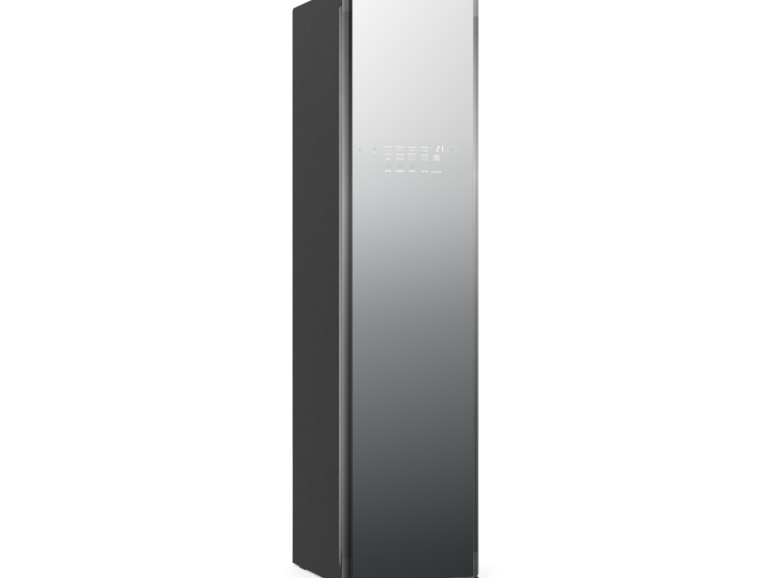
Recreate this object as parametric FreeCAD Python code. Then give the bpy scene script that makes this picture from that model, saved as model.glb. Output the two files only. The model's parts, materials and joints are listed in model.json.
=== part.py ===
import FreeCAD, Part
import math
import os

V = FreeCAD.Vector
X_AXIS = V(1, 0, 0)
Y_AXIS = V(0, 1, 0)
Z_AXIS = V(0, 0, 1)

# All sizes are millimetres. The origin is on the floor under the middle of the cabinet,
# +X to the right, -Y to the front and +Z up.

# ------------------------------------------------------------------ overall
width = 445.0
depth = 585.0
case_top = 1842.0
case_bottom = 6.0
sheet = 1.0                   # folded case sheet
corner_radius = 17.0          # top rear corner of the case
rear_relief = 2.0             # fittings stand this far out of the rear sheets
seat_gap = 0.3                # gap between neighbouring mouldings
run_gap = 0.05                # radial clearance of a running fit
lift_gap = 0.5                # round pieces that lift out
overcut = 1.0                 # how far a cutting shape runs past a face

# ------------------------------------------------------------------ door
door_thickness = 31.0
door_gap = 2.0                # between the door's back and the case front
door_bottom = 20.0
door_top_gap = 2.0            # below the case top
door_outline_radius = 22.0
band_width = 25.2             # metal side profile beside the glass
band_wall = 2.0
band_rear_radius = 10.0
glass_thickness = 4.0
glass_set_back = 0.2          # behind the front edge of the side profiles
glass_border = 3.0            # from the door's lower and upper ends to the glass
glass_chamfer = 0.8
cap_arm = 78.0                # height of the end caps beside the glass
cap_bar = 23.0                # height of the end caps behind the glass
back_thickness = 3.5
back_flange = 8.7             # lip of the side profile over the back panel
gasket_width = 10.0
gasket_seat = 2.5
gasket_inset = 2.0            # from the cabin opening to the gasket
plateau_height = 18.5
plateau_inset = 15.0          # from the cabin opening to the raised back
plateau_wall = 3.0
plateau_radius = 14.0
display_height = 96.0
display_left = 22.0           # from the glass's left edge
display_right = 37.0          # from the glass's right edge
display_bottom = 1264.0
display_thickness = 3.4
display_block_width = 67.0
display_block_height = 38.0

# ------------------------------------------------------------------ grip
pocket_bottom = 66.0
pocket_top = 1789.0
pocket_depth = 34.0           # back from the case front
pocket_reach = 16.0           # inwards from the side
pocket_wall = 2.0
pocket_end_radius = 14.0
pocket_scoop_radius = 11.0
rail_sheet = 1.4
rail_set_back = 7.0           # door back to the rail's outer face
rail_face = 16.0
rail_inset = 4.0
rail_lip = 8.0
rail_foot = 11.0
rail_bend = 2.6
rail_end_gap = 3.0
rail_end_rise = 8.0           # the rail's ends are cut at a slant by this much

# ------------------------------------------------------------------ hinge
pivot_inset_x = 14.0          # from the right side
pivot_back = 16.0             # from the door's front
pin_radius = 4.0
pin_length = 20.0
bush_wall = 3.0
bush_flange = 1.5
bush_flange_reach = 2.1       # out from the bush's sleeve
hinge_plate = 3.0
hinge_width = 42.0
hinge_reach = 78.0
hinge_eye = 12.0
hinge_cover_height = 8.0
hinge_cover_wall = 1.5
hinge_cover_margin = 3.0
hinge_leg = 10.5

# ------------------------------------------------------------------ cabin
side_wall = 32.5              # outside of the case to the inside of the cabin
liner = 3.0
cabin_floor = 395.0
cabin_ceiling = 1705.0
cabin_rear = 235.0
cabin_radius = 14.0
cabin_rear_radius = 5.0       # upright corners at the cabin's rear
frame_thickness = 12.0
ceiling_cover_drop = 8.0
lamp_width = 120.0
lamp_depth = 20.0
lamp_front = 26.0             # back from the cabin mouth
shelf_height = 500.0
shelf_thickness = 14.0
shelf_side_gap = 4.0
shelf_set_back = 47.5         # cabin mouth to the shelf
shelf_rear_gap = 8.0
shelf_slot_count = 9
shelf_slot_width = 10.0
shelf_rim = 26.0
shelf_lip = 8.5
ledge_width = 12.0
ledge_length = 60.0
ledge_height = 10.0
ledge_end_gap = 40.0

# ------------------------------------------------------------------ cabin floor pieces
filter_width = 300.0
filter_length = 70.0
filter_front = -200.0
filter_depth = 24.0
filter_bar = 5.0
filter_cell_count = 6
filter_grip_width = 60.0
filter_grip_rise = 12.0
cassette_x = -120.0
cassette_y = -70.0
cassette_width = 84.0
cassette_length = 54.0
cassette_depth = 26.0
cassette_slot_count = 5
cassette_slot_half = 18.0
grille_width = 300.0
grille_length = 190.0
grille_front = -10.0
grille_rise = 2.5
grille_bar = 6.0
grille_rim = 9.0
grille_bar_count = 13
nozzle_x = 120.0
nozzle_y = -38.0
nozzle_half = 17.0
nozzle_flange = 7.0
nozzle_drop = 20.0
nozzle_slot = 5.0
nozzle_slot_count = 3
nozzle_margin = 5.0           # beside the slots
nozzle_end = 7.0              # past the slots' ends

# ------------------------------------------------------------------ hanger drive
bar_y = 10.0
bar_drop = 37.0               # ceiling cover to the bar's centre
bar_radius = 8.0
bar_half = 150.0
groove_radius = 6.0
groove_width = 6.4
neck_x = 55.0
neck_width = 16.0
neck_depth = 10.0
bar_travel = 12.0
slot_gap = 1.5
carriage_half = 70.0
carriage_depth = 68.0
carriage_height = 12.0
carriage_lift = 5.0           # liner to the carriage
rod_radius = 4.0
rod_spread = 25.0
rod_half = 92.0
rod_block = 8.0
crank_radius = 22.0
crank_throw = 14.0
crank_thickness = 6.0
crank_pin_radius = 4.0
crank_pin_gap = 1.2           # at each side of the yoke slot
crank_clear = 1.0
yoke_height = 9.0
yoke_half = 15.0
yoke_depth = 30.0
crank_shaft_radius = 5.0
bridge_sheet = 3.0
bridge_half = 34.0
gearbox_half = 30.0
gearbox_height = 23.0
gearbox_radius = 8.0
motor_radius = 23.0
motor_height = 38.0
hanger_count = 3
hanger_pitch = 110.0          # from the middle hanger to the outer ones
hanger_wire = 2.5
hanger_half = 195.0
hanger_thickness = 12.0
hanger_neck = 34.0
hanger_arm = 24.0
hanger_slope = 62.0
hanger_tip_drop = 16.0
hanger_tip_reach = 4.0
hanger_shoulder_drop = 22.3   # at half the shoulder's length
hanger_under_drop = 31.0      # the same, for its lower edge
hanger_mouth_low = 6.8        # the hook's mouth, below and above the bar's centre
hanger_mouth_high = 2.4

# ------------------------------------------------------------------ tanks
bay_floor = 60.0
bay_ceiling = 352.0
bay_depth = 178.0
bay_wall = 2.5
bay_radius = 5.0
tank_set_back = 42.0          # cabin mouth to the tanks
tank_gap = 3.0
tank_height = 268.0
tank_lid = 9.0
tank_radius = 14.0
tank_base_radius = 6.0
tank_lid_inset = 4.0
tank_handle_width = 78.0
tank_handle_height = 40.0
tank_handle_depth = 22.0
tank_handle_drop = 26.0
tank_handle_radius = 10.0

# ------------------------------------------------------------------ base and feet
base_sheet = 2.0
base_wall = 24.0
foot_inset = 37.5             # from the case's side to a foot's centre
foot_set_back = 47.5          # case front to a foot's centre
foot_pad_radius = 22.0
foot_pad_height = 4.5
foot_stud_radius = 5.0
foot_stud_top = 34.0
foot_boss_radius = 10.0
foot_boss_height = 19.0
rear_foot_length = 60.0
rear_foot_width = 26.0
rear_foot_inset = 105.0
rear_foot_taper = 4.0
kick_thickness = 6.0
kick_set_back = 5.0
kick_rib_count = 3
kick_rib = 1.2

# ------------------------------------------------------------------ rear
service_top = 402.0
top_drop = 42.0
bead_count = 3
bead_spread = 110.0           # from the middle to the outer beads
bead_radius = 12.0
bead_depth = 4.0
bead_end = 90.0
louvre_count = 11
louvre_pitch = 15.0
louvre_width = 130.0
louvre_height = 7.0
louvre_depth = 6.0
louvre_bottom = 170.0
louvre_centre = 92.0
lip = 14.0
gland_x = -165.0
gland_z = 70.0
gland_radius = 13.0
gland_bore = 5.0
gland_depth = 18.0

# ------------------------------------------------------------------ machinery
deck_height = 236.0
deck_sheet = 3.0
deck_half = 204.0
deck_gap = 5.0                # tank bay to the deck
deck_back = 28.5              # case rear to the deck
coil_left = -165.0
coil_right = 70.0
coil_height = 124.0
coil_depth = 38.0
coil_frame = 5.0
coil_fin_count = 14
coil_fin = 1.2
coil_tube_radius = 4.0
coil_passes = 6
coil_header_reach = 12.0
coil_port_rise = 80.6         # deck to the coils' pipe connection
coil_gap = 18.0               # tank bay to the evaporator
condenser_back = 64.5         # case rear to the condenser's middle
blower_x = -48.0
scroll_radius = 78.0
scroll_outlet = 66.0
scroll_height = 58.0
scroll_wall = 2.5
scroll_inlet = 44.0
scroll_throat = 14.0          # outlet past the round body
wheel_radius = 64.0
wheel_hub = 14.0
wheel_height = 38.0
wheel_plate = 3.0
wheel_blades = 14
wheel_blade_length = 22.0
wheel_blade = 1.6
wheel_blade_lean = 32.0
wheel_shaft_radius = 4.0
wheel_shaft_length = 34.0
shaft_hole = 8.0
fan_motor_radius = 33.0
fan_motor_height = 52.0
fan_flange = 6.0
compressor_x = 122.0
compressor_back = 100.5       # case rear to the compressor's axis
compressor_radius = 58.0
compressor_lift = 21.0        # base floor to the can
compressor_height = 165.0
compressor_dome = 24.0
compressor_foot = 46.0
grommet_radius = 9.0
stub_radius = 4.0
stub_spread = 19.3
compressor_feet = 3
stub_top = 226.0
boiler_x = 120.0
boiler_gap = 39.0             # tank bay to the boiler's foot
boiler_radius = 42.0
boiler_height = 150.0
boiler_foot = 6.0
boiler_spout = 24.0
boiler_inlet_rise = 22.5      # base floor to the inlet
boiler_inlet_reach = 12.0
pump_x = -150.0
pump_gap = 87.0               # tank bay to the front pump
pump_pitch = 90.0
pump_radius = 20.0
pump_height = 46.0
pump_foot = 6.0
hose_radius = 5.0
hose_bend = 22.0
tight_hose_bend = 19.8
pipe_bend = 14.0
mitres_per_bend = 3
pipe_sides = 12
control_x = 118.0
control_set_back = 97.5       # cabin mouth to the control box's middle
control_width = 90.0
control_length = 190.0
control_height = 42.0
control_radius = 6.0
control_slot = 3.0
control_slot_count = 8
control_margin = 18.0

# ------------------------------------------------------------------ trouser press
press_half = 150.0
press_bottom = 650.0
press_top = 1440.0
press_base_thickness = 18.0
press_plate_thickness = 17.0
press_gap = 1.2
press_hinge_offset = 8.0
press_barrel_radius = 6.0
press_pin_radius = 3.0
press_pin_length = 8.0
press_lug = 11.0
press_rib_count = 7
press_rib_depth = 2.0
press_corner = 16.0
clamp_z = 1486.0
clamp_width = 120.0
clamp_height = 34.0
clamp_thickness = 5.0
clamp_pin_radius = 2.5
clamp_lug = 6.0
clamp_jaw_gap = 1.0

# ------------------------------------------------------------------ places worked out from the sizes
half_width = width / 2
front = -depth / 2
rear = depth / 2
case_rear = rear - rear_relief
door_back = front + door_thickness
case_front = door_back + door_gap
door_top = case_top - door_top_gap
glass_half = half_width - band_width - seat_gap
glass_front = front + glass_set_back
glass_back = glass_front + glass_thickness
display_width = 2 * glass_half - display_left - display_right
glass_bottom = door_bottom + glass_border
glass_top = door_top - glass_border
arm_top = door_bottom + cap_arm
arm_bottom = door_top - cap_arm
bar_low_top = door_bottom + cap_bar
bar_high_bottom = door_top - cap_bar
band_edge = half_width - band_width
flange_edge = half_width - band_width + back_flange
pivot_x = half_width - pivot_inset_x
pivot_y = front + pivot_back
cabin_half = half_width - side_wall
cabin_front = case_front + frame_thickness
shelf_front = cabin_front + shelf_set_back
tank_front = cabin_front + tank_set_back
control_y = cabin_front + control_set_back
inside_half = half_width - sheet
plateau_y = door_back + plateau_height
liner_top = cabin_ceiling + liner
cover_bottom = cabin_ceiling - ceiling_cover_drop
bar_z = cover_bottom - bar_drop
carriage_bottom = liner_top + carriage_lift
carriage_top = carriage_bottom + carriage_height
rod_z = carriage_bottom + carriage_height / 2
yoke_top = carriage_top + yoke_height
crank_bottom = yoke_top + crank_clear
crank_top = crank_bottom + crank_thickness
bridge_bottom = crank_top + crank_clear
bridge_top = bridge_bottom + bridge_sheet
base_bottom = case_bottom + sheet
base_floor = base_bottom + base_sheet
bay_rear = cabin_front + bay_depth
bay_back = bay_rear + bay_wall
foot_x = half_width - foot_inset
foot_front_y = case_front + foot_set_back
deck_front = bay_back + deck_gap
deck_rear = case_rear - deck_back
evaporator_y = bay_back + coil_gap + coil_depth / 2
condenser_y = case_rear - condenser_back
blower_y = (evaporator_y + condenser_y) / 2
compressor_y = case_rear - compressor_back
compressor_bottom = base_floor + compressor_lift
boiler_y = bay_back + boiler_gap + boiler_foot + boiler_radius
boiler_top = base_floor + boiler_height + boiler_spout
pump_front_y = bay_back + pump_gap + pump_radius
deck_top = deck_height + deck_sheet
press_base_y = plateau_y + press_base_thickness
press_plate_y = press_base_y + press_gap
press_plate_back = press_plate_y + press_plate_thickness
press_pin_x = press_half + press_hinge_offset
press_pin_y = press_base_y


# ------------------------------------------------------------------ helpers
def box(x, y, z):
    """A block between two planes on each axis."""
    return Part.makeBox(x[1] - x[0], y[1] - y[0], z[1] - z[0], V(x[0], y[0], z[0]))


def rod(start, end, radius):
    """A round bar from one point to another."""
    line = end - start
    return Part.makeCylinder(radius, line.Length, start, line)


def prism(points, travel):
    """A flat outline moved along a straight line."""
    wire = Part.makePolygon(points + [points[0]])
    return Part.Face(wire).extrude(travel)


def rounded(shape, axis, radius, keep=None):
    """Round the straight edges that run along an axis, or those that keep accepts."""
    chosen = []
    for edge in shape.Edges:
        if not isinstance(edge.Curve, Part.Line):
            continue
        if abs(edge.Curve.Direction.dot(axis)) < 0.999:
            continue
        if keep is None or keep(edge.CenterOfMass):
            chosen.append(edge)
    return shape.makeFillet(radius, chosen)


def chamfered(shape, axis, size, keep=None):
    """Bevel the straight edges that run along an axis, or those that keep accepts."""
    chosen = []
    for edge in shape.Edges:
        if not isinstance(edge.Curve, Part.Line):
            continue
        if abs(edge.Curve.Direction.dot(axis)) < 0.999:
            continue
        if keep is None or keep(edge.CenterOfMass):
            chosen.append(edge)
    return shape.makeChamfer(size, chosen)


def fuse(shapes):
    """One solid from pieces that touch."""
    joined = shapes[0].multiFuse(shapes[1:]) if len(shapes) > 1 else shapes[0]
    return joined.removeSplitter()


def cut(shape, tools):
    """Take several cutting shapes away from one solid."""
    return shape.cut(Part.makeCompound(tools))


def mirrored(shape):
    """The same piece for the other side of the cabinet."""
    return shape.mirror(V(0, 0, 0), X_AXIS)


def route(points, bend):
    """Straight runs joined by tangent arcs, as one wire."""
    edges = []
    last = points[0]
    for before, corner, after in zip(points, points[1:], points[2:]):
        back = (before - corner).normalize()
        ahead = (after - corner).normalize()
        half = math.acos(back.dot(ahead)) / 2
        reach = bend / math.tan(half)
        entry = corner + back * reach
        leave = corner + ahead * reach
        middle = corner + (back + ahead).normalize() * (bend / math.sin(half) - bend)
        edges.append(Part.LineSegment(last, entry).toShape())
        edges.append(Part.Arc(entry, middle, leave).toShape())
        last = leave
    edges.append(Part.LineSegment(last, points[-1]).toShape())
    return Part.Wire(edges)


def pipe(points, radius, bend):
    """A tube, solid inside, whose bends are made of short mitred runs."""
    places = []
    for edge in route(points, bend).OrderedEdges:
        parts = 1 if isinstance(edge.Curve, Part.Line) else mitres_per_bend
        low, high = edge.FirstParameter, edge.LastParameter
        places += [edge.valueAt(low + (high - low) * index / parts) for index in range(parts)]
    places.append(points[-1])
    turn = FreeCAD.Rotation(Z_AXIS, points[1] - points[0])
    angles = [2 * math.pi * index / pipe_sides for index in range(pipe_sides)]
    ring = [points[0] + turn.multVec(V(math.cos(angle), math.sin(angle), 0) * radius) for angle in angles]
    ring.append(ring[0])
    return Part.makePolygon(places).makePipeShell([Part.makePolygon(ring)], True, True, 1)


def hexagon(radius):
    """A hexagon's corners, as two distances from its middle."""
    angles = [math.radians(60 * index) for index in range(6)]
    return [(radius * math.cos(angle), radius * math.sin(angle)) for angle in angles]


def spread(count, low, high):
    """Evenly spaced places from low to high, both included."""
    step = (high - low) / (count - 1)
    return [low + step * index for index in range(count)]


# ------------------------------------------------------------------ case
def pocket_window(x):
    """The finger pocket's clear space as seen from the side, with rounded rear corners."""
    back = case_front + pocket_depth
    space = box(x, (case_front - overcut, back), (pocket_bottom, pocket_top))
    return rounded(space, X_AXIS, pocket_end_radius, lambda p: p.y > back - overcut)


def left_side_panel():
    """Folded sheet with a lip turned in at the top, bottom and rear, and the pocket's notch."""
    outer = box((-half_width, -half_width + lip), (case_front, case_rear - sheet),
                (case_bottom, case_top - sheet))
    outer = rounded(outer, X_AXIS, corner_radius - sheet, is_top_rear)
    inner = box((-half_width + sheet, -half_width + lip + overcut),
                (case_front - overcut, case_rear - 2 * sheet),
                (case_bottom + sheet, case_top - 2 * sheet))
    inner = rounded(inner, X_AXIS, corner_radius - 2 * sheet, is_top_rear)
    notch = pocket_window((-half_width - overcut, -half_width + lip + overcut))
    return cut(outer, [inner, notch])


def is_top_rear(point):
    """True for a place on the case's top rear corner."""
    return point.y > cabin_rear and point.z > case_top - corner_radius


def right_side_panel():
    """The same folded sheet without a notch."""
    outer = box((half_width - lip, half_width), (case_front, case_rear - sheet),
                (case_bottom, case_top - sheet))
    outer = rounded(outer, X_AXIS, corner_radius - sheet, is_top_rear)
    inner = box((half_width - lip - overcut, half_width - sheet),
                (case_front - overcut, case_rear - 2 * sheet),
                (case_bottom + sheet, case_top - 2 * sheet))
    inner = rounded(inner, X_AXIS, corner_radius - 2 * sheet, is_top_rear)
    return cut(outer, [inner])


def top_panel():
    """Sheet over the top that rolls down the rear."""
    outer = box((-half_width, half_width), (case_front, case_rear), (case_top - top_drop, case_top))
    outer = rounded(outer, X_AXIS, corner_radius, is_top_rear)
    inner = box((-half_width - overcut, half_width + overcut),
                (case_front - overcut, case_rear - sheet),
                (case_top - top_drop - overcut, case_top - sheet))
    inner = rounded(inner, X_AXIS, corner_radius - sheet, is_top_rear)
    return cut(outer, [inner])


def bead(x, z, y, radius):
    """A long pressing with round ends."""
    low, high = z
    ends = [rod(V(x, y[0], end), V(x, y[1], end), radius) for end in (low, high)]
    return fuse(ends + [box((x - radius, x + radius), y, (low, high))])


def rear_panel():
    """Flat rear sheet stiffened by long beads pressed inwards."""
    skin = box((-half_width, half_width), (case_rear - sheet, case_rear),
               (service_top, case_top - top_drop))
    z = (service_top + bead_end, case_top - top_drop - bead_end)
    places = spread(bead_count, -bead_spread, bead_spread)
    ridges = [bead(x, z, (case_rear - sheet - bead_depth, case_rear), bead_radius) for x in places]
    hollows = [bead(x, z, (case_rear - bead_depth, rear), bead_radius - sheet) for x in places]
    return cut(fuse([skin] + ridges), hollows)


def louvre_hood(x, z):
    """The slanted blade under which one louvre opens."""
    inner = case_rear - sheet
    points = [V(x - louvre_width / 2, inner, z + louvre_height + sheet),
              V(x - louvre_width / 2, inner - louvre_depth, z + sheet),
              V(x - louvre_width / 2, inner - louvre_depth, z),
              V(x - louvre_width / 2, inner, z + louvre_height)]
    return prism(points, V(louvre_width, 0, 0))


def service_cover():
    """Lower rear cover with two columns of louvres and the inlet's hole."""
    skin = box((-half_width, half_width), (case_rear - sheet, case_rear),
               (base_bottom, service_top - seat_gap))
    hoods = []
    slots = []
    for x in (-louvre_centre, louvre_centre):
        for index in range(louvre_count):
            z = louvre_bottom + louvre_pitch * index
            hoods.append(louvre_hood(x, z))
            slots.append(box((x - louvre_width / 2, x + louvre_width / 2),
                             (case_rear - sheet, rear), (z, z + louvre_height)))
    inlet = rod(V(gland_x, case_rear - gland_depth, gland_z), V(gland_x, rear, gland_z),
                gland_radius - rear_relief)
    return fuse([cut(skin, slots + [inlet])] + hoods)


def base_frame():
    """Folded floor tray with a threaded boss over each front foot."""
    y = (cabin_front, case_rear - 2 * sheet)
    outer = box((-inside_half, inside_half), y, (base_bottom, base_bottom + base_wall))
    inner = box((-inside_half + base_sheet, inside_half - base_sheet),
                (y[0] + base_sheet, y[1] - base_sheet),
                (base_floor, base_bottom + base_wall + overcut))
    bosses = []
    bores = []
    for side in (-1, 1):
        low = V(side * foot_x, foot_front_y, base_bottom)
        bosses.append(rod(low, low + V(0, 0, foot_boss_height), foot_boss_radius))
        bores.append(rod(low - V(0, 0, overcut), low + V(0, 0, foot_boss_height + overcut),
                         foot_stud_radius + run_gap))
    return cut(fuse([cut(outer, [inner])] + bosses), bores)


def front_frame():
    """Moulded face round the cabin and the tanks, with the finger pocket's scoop in one piece."""
    edge = inside_half - seat_gap
    y = (case_front, cabin_front)
    face = box((-edge, edge), y, (door_bottom, case_top - 2 * sheet - seat_gap))
    cabin = box((-cabin_half, cabin_half), (y[0] - overcut, y[1] + overcut),
                (cabin_floor, cabin_ceiling))
    cabin = rounded(cabin, Y_AXIS, cabin_radius)
    bay = box((-cabin_half, cabin_half), (y[0] - overcut, y[1] + overcut), (bay_floor, bay_ceiling))
    bay = rounded(bay, Y_AXIS, bay_radius)
    back = case_front + pocket_depth
    reach = -half_width + pocket_reach
    shell = box((-edge, reach + pocket_wall), (case_front, back + pocket_wall),
                (pocket_bottom - pocket_wall, pocket_top + pocket_wall))
    across = pocket_window((-half_width - overcut, reach))
    along = box((-half_width - overcut, reach), (case_front - overcut, back),
                (pocket_bottom - overcut, pocket_top + overcut))
    along = rounded(along, Z_AXIS, pocket_scoop_radius,
                    lambda p: p.x > reach - overcut and p.y > back - overcut)
    return cut(fuse([cut(face, [cabin, bay]), shell]), [across.common(along)])


def kick_plate():
    """Ribbed plate that closes the space under the door."""
    y = (case_front + kick_set_back, case_front + kick_set_back + kick_thickness)
    edge = inside_half - seat_gap
    body = box((-edge, edge), y, (base_bottom + seat_gap, door_bottom - seat_gap))
    places = spread(kick_rib_count, base_bottom + kick_rib * 2, door_bottom - kick_rib * 3)
    grooves = [box((-edge - overcut, edge + overcut), (y[0] - overcut, y[0] + kick_rib), (z, z + kick_rib))
               for z in places]
    return cut(body, grooves)


def liner_space(grow):
    """The cabin's inside, made larger all round except at its mouth."""
    space = box((-cabin_half - grow, cabin_half + grow), (cabin_front, cabin_rear + grow),
                (cabin_floor - grow, cabin_ceiling + grow))
    return rounded(space, Z_AXIS, cabin_rear_radius + grow, lambda p: p.y > cabin_rear - overcut)


def neck_slots(z):
    """Two slots that the hanger bar's necks move along."""
    reach = neck_width / 2 + bar_travel + slot_gap
    half = neck_depth / 2 + slot_gap
    return [box((x - reach, x + reach), (bar_y - half, bar_y + half), z) for x in (-neck_x, neck_x)]


def filter_place(grow, z):
    """The block that the lint filter takes up."""
    return box((-filter_width / 2 - grow, filter_width / 2 + grow),
               (filter_front - grow, filter_front + filter_length + grow), z)


def cassette_place(grow, z):
    """The block that the scent cassette takes up."""
    return box((cassette_x - cassette_width / 2 - grow, cassette_x + cassette_width / 2 + grow),
               (cassette_y - cassette_length / 2 - grow, cassette_y + cassette_length / 2 + grow), z)


def grille_place(inset, z):
    """The block that the floor grille takes up."""
    return box((-grille_width / 2 + inset, grille_width / 2 - inset),
               (grille_front + inset, grille_front + grille_length - inset), z)


def is_lower_inner_edge(point):
    """True for the lower edge of a shelf ledge on the cabin's side."""
    return abs(point.x) < cabin_half - seat_gap and point.z < shelf_height - seat_gap


def shelf_ledges():
    """Four ledges on the cabin's walls that the shelf rests on."""
    ledges = []
    back = cabin_rear - ledge_end_gap
    for side in (-1, 1):
        inner = side * (cabin_half - ledge_width)
        outer = side * cabin_half
        x = (min(inner, outer), max(inner, outer))
        for y in ((shelf_front + ledge_end_gap, shelf_front + ledge_end_gap + ledge_length),
                  (back - ledge_length, back)):
            ledge = box(x, y, (shelf_height - ledge_height, shelf_height))
            ledges.append(chamfered(ledge, Y_AXIS, ledge_height / 2, is_lower_inner_edge))
    return ledges


def cabin_liner():
    """Moulded cabin with wells in its floor."""
    shell = liner_space(liner).cut(liner_space(0))
    floor = (cabin_floor - liner - overcut, cabin_floor + overcut)
    well_floor = (cabin_floor - filter_depth - liner, cabin_floor - liner)
    well = filter_place(lift_gap + liner, well_floor).cut(
        filter_place(lift_gap, (well_floor[0] + liner, well_floor[1] + overcut)))
    tub_floor = (cabin_floor - cassette_depth - liner, cabin_floor - liner)
    tub = cassette_place(lift_gap + liner, tub_floor).cut(
        cassette_place(lift_gap, (tub_floor[0] + liner, tub_floor[1] + overcut)))
    holes = [filter_place(lift_gap, floor),
             cassette_place(lift_gap, floor),
             grille_place(grille_bar, floor),
             nozzle_block(seat_gap, floor)]
    holes += neck_slots((cabin_ceiling - overcut, liner_top + overcut))
    return fuse([cut(shell, holes), well, tub])


def ceiling_cover():
    """Moulded panel under the ceiling with slots for the hanger bar and a lamp window."""
    edge = cabin_half - seat_gap
    y = (cabin_front + seat_gap, cabin_rear - cabin_radius)
    panel = box((-edge, edge), y, (cover_bottom, cabin_ceiling))
    panel = chamfered(panel, X_AXIS, ceiling_cover_drop / 2, lambda p: p.z < cabin_ceiling - overcut)
    lamp = lamp_block(seat_gap, (cover_bottom - overcut, cabin_ceiling - liner))
    return cut(panel, neck_slots((cover_bottom - overcut, cabin_ceiling + overcut)) + [lamp])


def lamp_block(grow, z):
    """The block that the lamp's lens takes up."""
    y = cabin_front + lamp_front
    return box((-lamp_width / 2 - grow, lamp_width / 2 + grow), (y - grow, y + lamp_depth + grow), z)


def cabin_lamp():
    """Lens of the cabin lamp, bevelled on its lower face."""
    lens = lamp_block(0, (cover_bottom - overcut, cabin_ceiling - liner - seat_gap))
    return chamfered(lens, X_AXIS, overcut / 2, lambda p: p.z < cover_bottom)


def insulation():
    """Foam round the cabin between the liner and the case."""
    edge = inside_half - seat_gap
    back = case_rear - sheet - bead_depth - seat_gap
    block = box((-edge, edge), (cabin_front + seat_gap, back), (cabin_floor, cabin_ceiling))
    hole = liner_space(liner + seat_gap)
    hole = box((-cabin_half - liner - seat_gap, cabin_half + liner + seat_gap),
               (cabin_front, cabin_rear - cabin_radius),
               (cabin_floor - overcut, cabin_ceiling + overcut)).fuse(hole)
    pocket = box((-edge - overcut, -half_width + pocket_reach + pocket_wall + seat_gap),
                 (cabin_front, case_front + pocket_depth + pocket_wall + seat_gap),
                 (cabin_floor - overcut, cabin_ceiling + overcut))
    lips = []
    for side in (-1, 1):
        inner = side * (half_width - lip - seat_gap)
        outer = side * (half_width + overcut)
        lips.append(box((min(inner, outer), max(inner, outer)),
                        (case_rear - 2 * sheet - seat_gap, rear),
                        (cabin_floor - overcut, cabin_ceiling + overcut)))
    return cut(block, [hole, pocket] + lips)


def tank_bay():
    """Moulded bay with a wall between the two tanks."""
    x = cabin_half + bay_wall
    outer = box((-x, x), (cabin_front, bay_rear + bay_wall), (bay_floor - bay_wall, bay_ceiling + bay_wall))
    rooms = []
    for side in (-1, 1):
        inner = side * bay_wall / 2
        far = side * cabin_half
        room = box((min(inner, far), max(inner, far)), (cabin_front - overcut, bay_rear),
                   (bay_floor, bay_ceiling))
        rooms.append(rounded(room, Z_AXIS, bay_radius / 2, lambda p: p.y > bay_rear - overcut))
    return cut(outer, rooms)


# ------------------------------------------------------------------ hinges, feet and rear fittings
def hinge_brackets():
    """Upper plate with its pin on the case top, lower angle with its pin under the door."""
    edge = half_width - hinge_cover_wall - hinge_cover_margin
    upper = box((edge - hinge_width, edge), (pivot_y, pivot_y + hinge_reach),
                (case_top, case_top + hinge_plate))
    upper = rounded(upper, Z_AXIS, hinge_eye, lambda p: p.y > pivot_y + overcut)
    eye = rod(V(pivot_x, pivot_y, case_top), V(pivot_x, pivot_y, case_top + hinge_plate), hinge_eye)
    pin = rod(V(pivot_x, pivot_y, door_top - pin_length), V(pivot_x, pivot_y, case_top), pin_radius)
    low_top = door_bottom - bush_flange - seat_gap
    low = box((edge - hinge_width, edge), (pivot_y, case_front + kick_set_back - seat_gap),
              (low_top - hinge_plate, low_top))
    low_eye = rod(V(pivot_x, pivot_y, low_top - hinge_plate), V(pivot_x, pivot_y, low_top), hinge_eye)
    low_pin = rod(V(pivot_x, pivot_y, low_top), V(pivot_x, pivot_y, door_bottom + pin_length), pin_radius)
    leg = box((edge - hinge_width, edge),
              (case_front + kick_set_back - seat_gap - hinge_plate, case_front + kick_set_back - seat_gap),
              (low_top - hinge_leg, low_top))
    return [fuse([upper, eye, pin]), fuse([low, low_eye, low_pin, leg])]


def hinge_bushes():
    """Flanged bushes in the door's end caps."""
    bushes = []
    for end, way in ((door_top, -1), (door_bottom, 1)):
        sleeve = rod(V(pivot_x, pivot_y, end), V(pivot_x, pivot_y, end + way * pin_length),
                     pin_radius + bush_wall)
        flange = rod(V(pivot_x, pivot_y, end - way * bush_flange), V(pivot_x, pivot_y, end),
                     pin_radius + bush_wall + bush_flange_reach)
        bore = rod(V(pivot_x, pivot_y, end - way * pin_length),
                   V(pivot_x, pivot_y, end + way * 2 * pin_length), pin_radius + run_gap)
        bushes.append(fuse([sleeve, flange]).cut(bore))
    return bushes


def hinge_cover():
    """Hollow cap over the upper hinge."""
    edge = half_width
    x = (edge - hinge_width - 2 * hinge_cover_margin - 2 * hinge_cover_wall, edge)
    y = (pivot_y - hinge_eye - hinge_cover_wall,
         pivot_y + hinge_reach + hinge_cover_margin + hinge_cover_wall)
    outer = box(x, y, (case_top, case_top + hinge_cover_height))
    outer = rounded(outer, Z_AXIS, hinge_eye)
    rim = [edge_ for edge_ in outer.Edges if edge_.BoundBox.ZMin > case_top + hinge_cover_height - seat_gap]
    outer = outer.makeChamfer(hinge_cover_wall, rim)
    inner = box((x[0] + hinge_cover_wall, x[1] - hinge_cover_wall),
                (y[0] + hinge_cover_wall, y[1] - hinge_cover_wall),
                (case_top - overcut, case_top + hinge_cover_height - hinge_cover_wall))
    inner = rounded(inner, Z_AXIS, hinge_eye - hinge_cover_wall)
    return outer.cut(inner)


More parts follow.
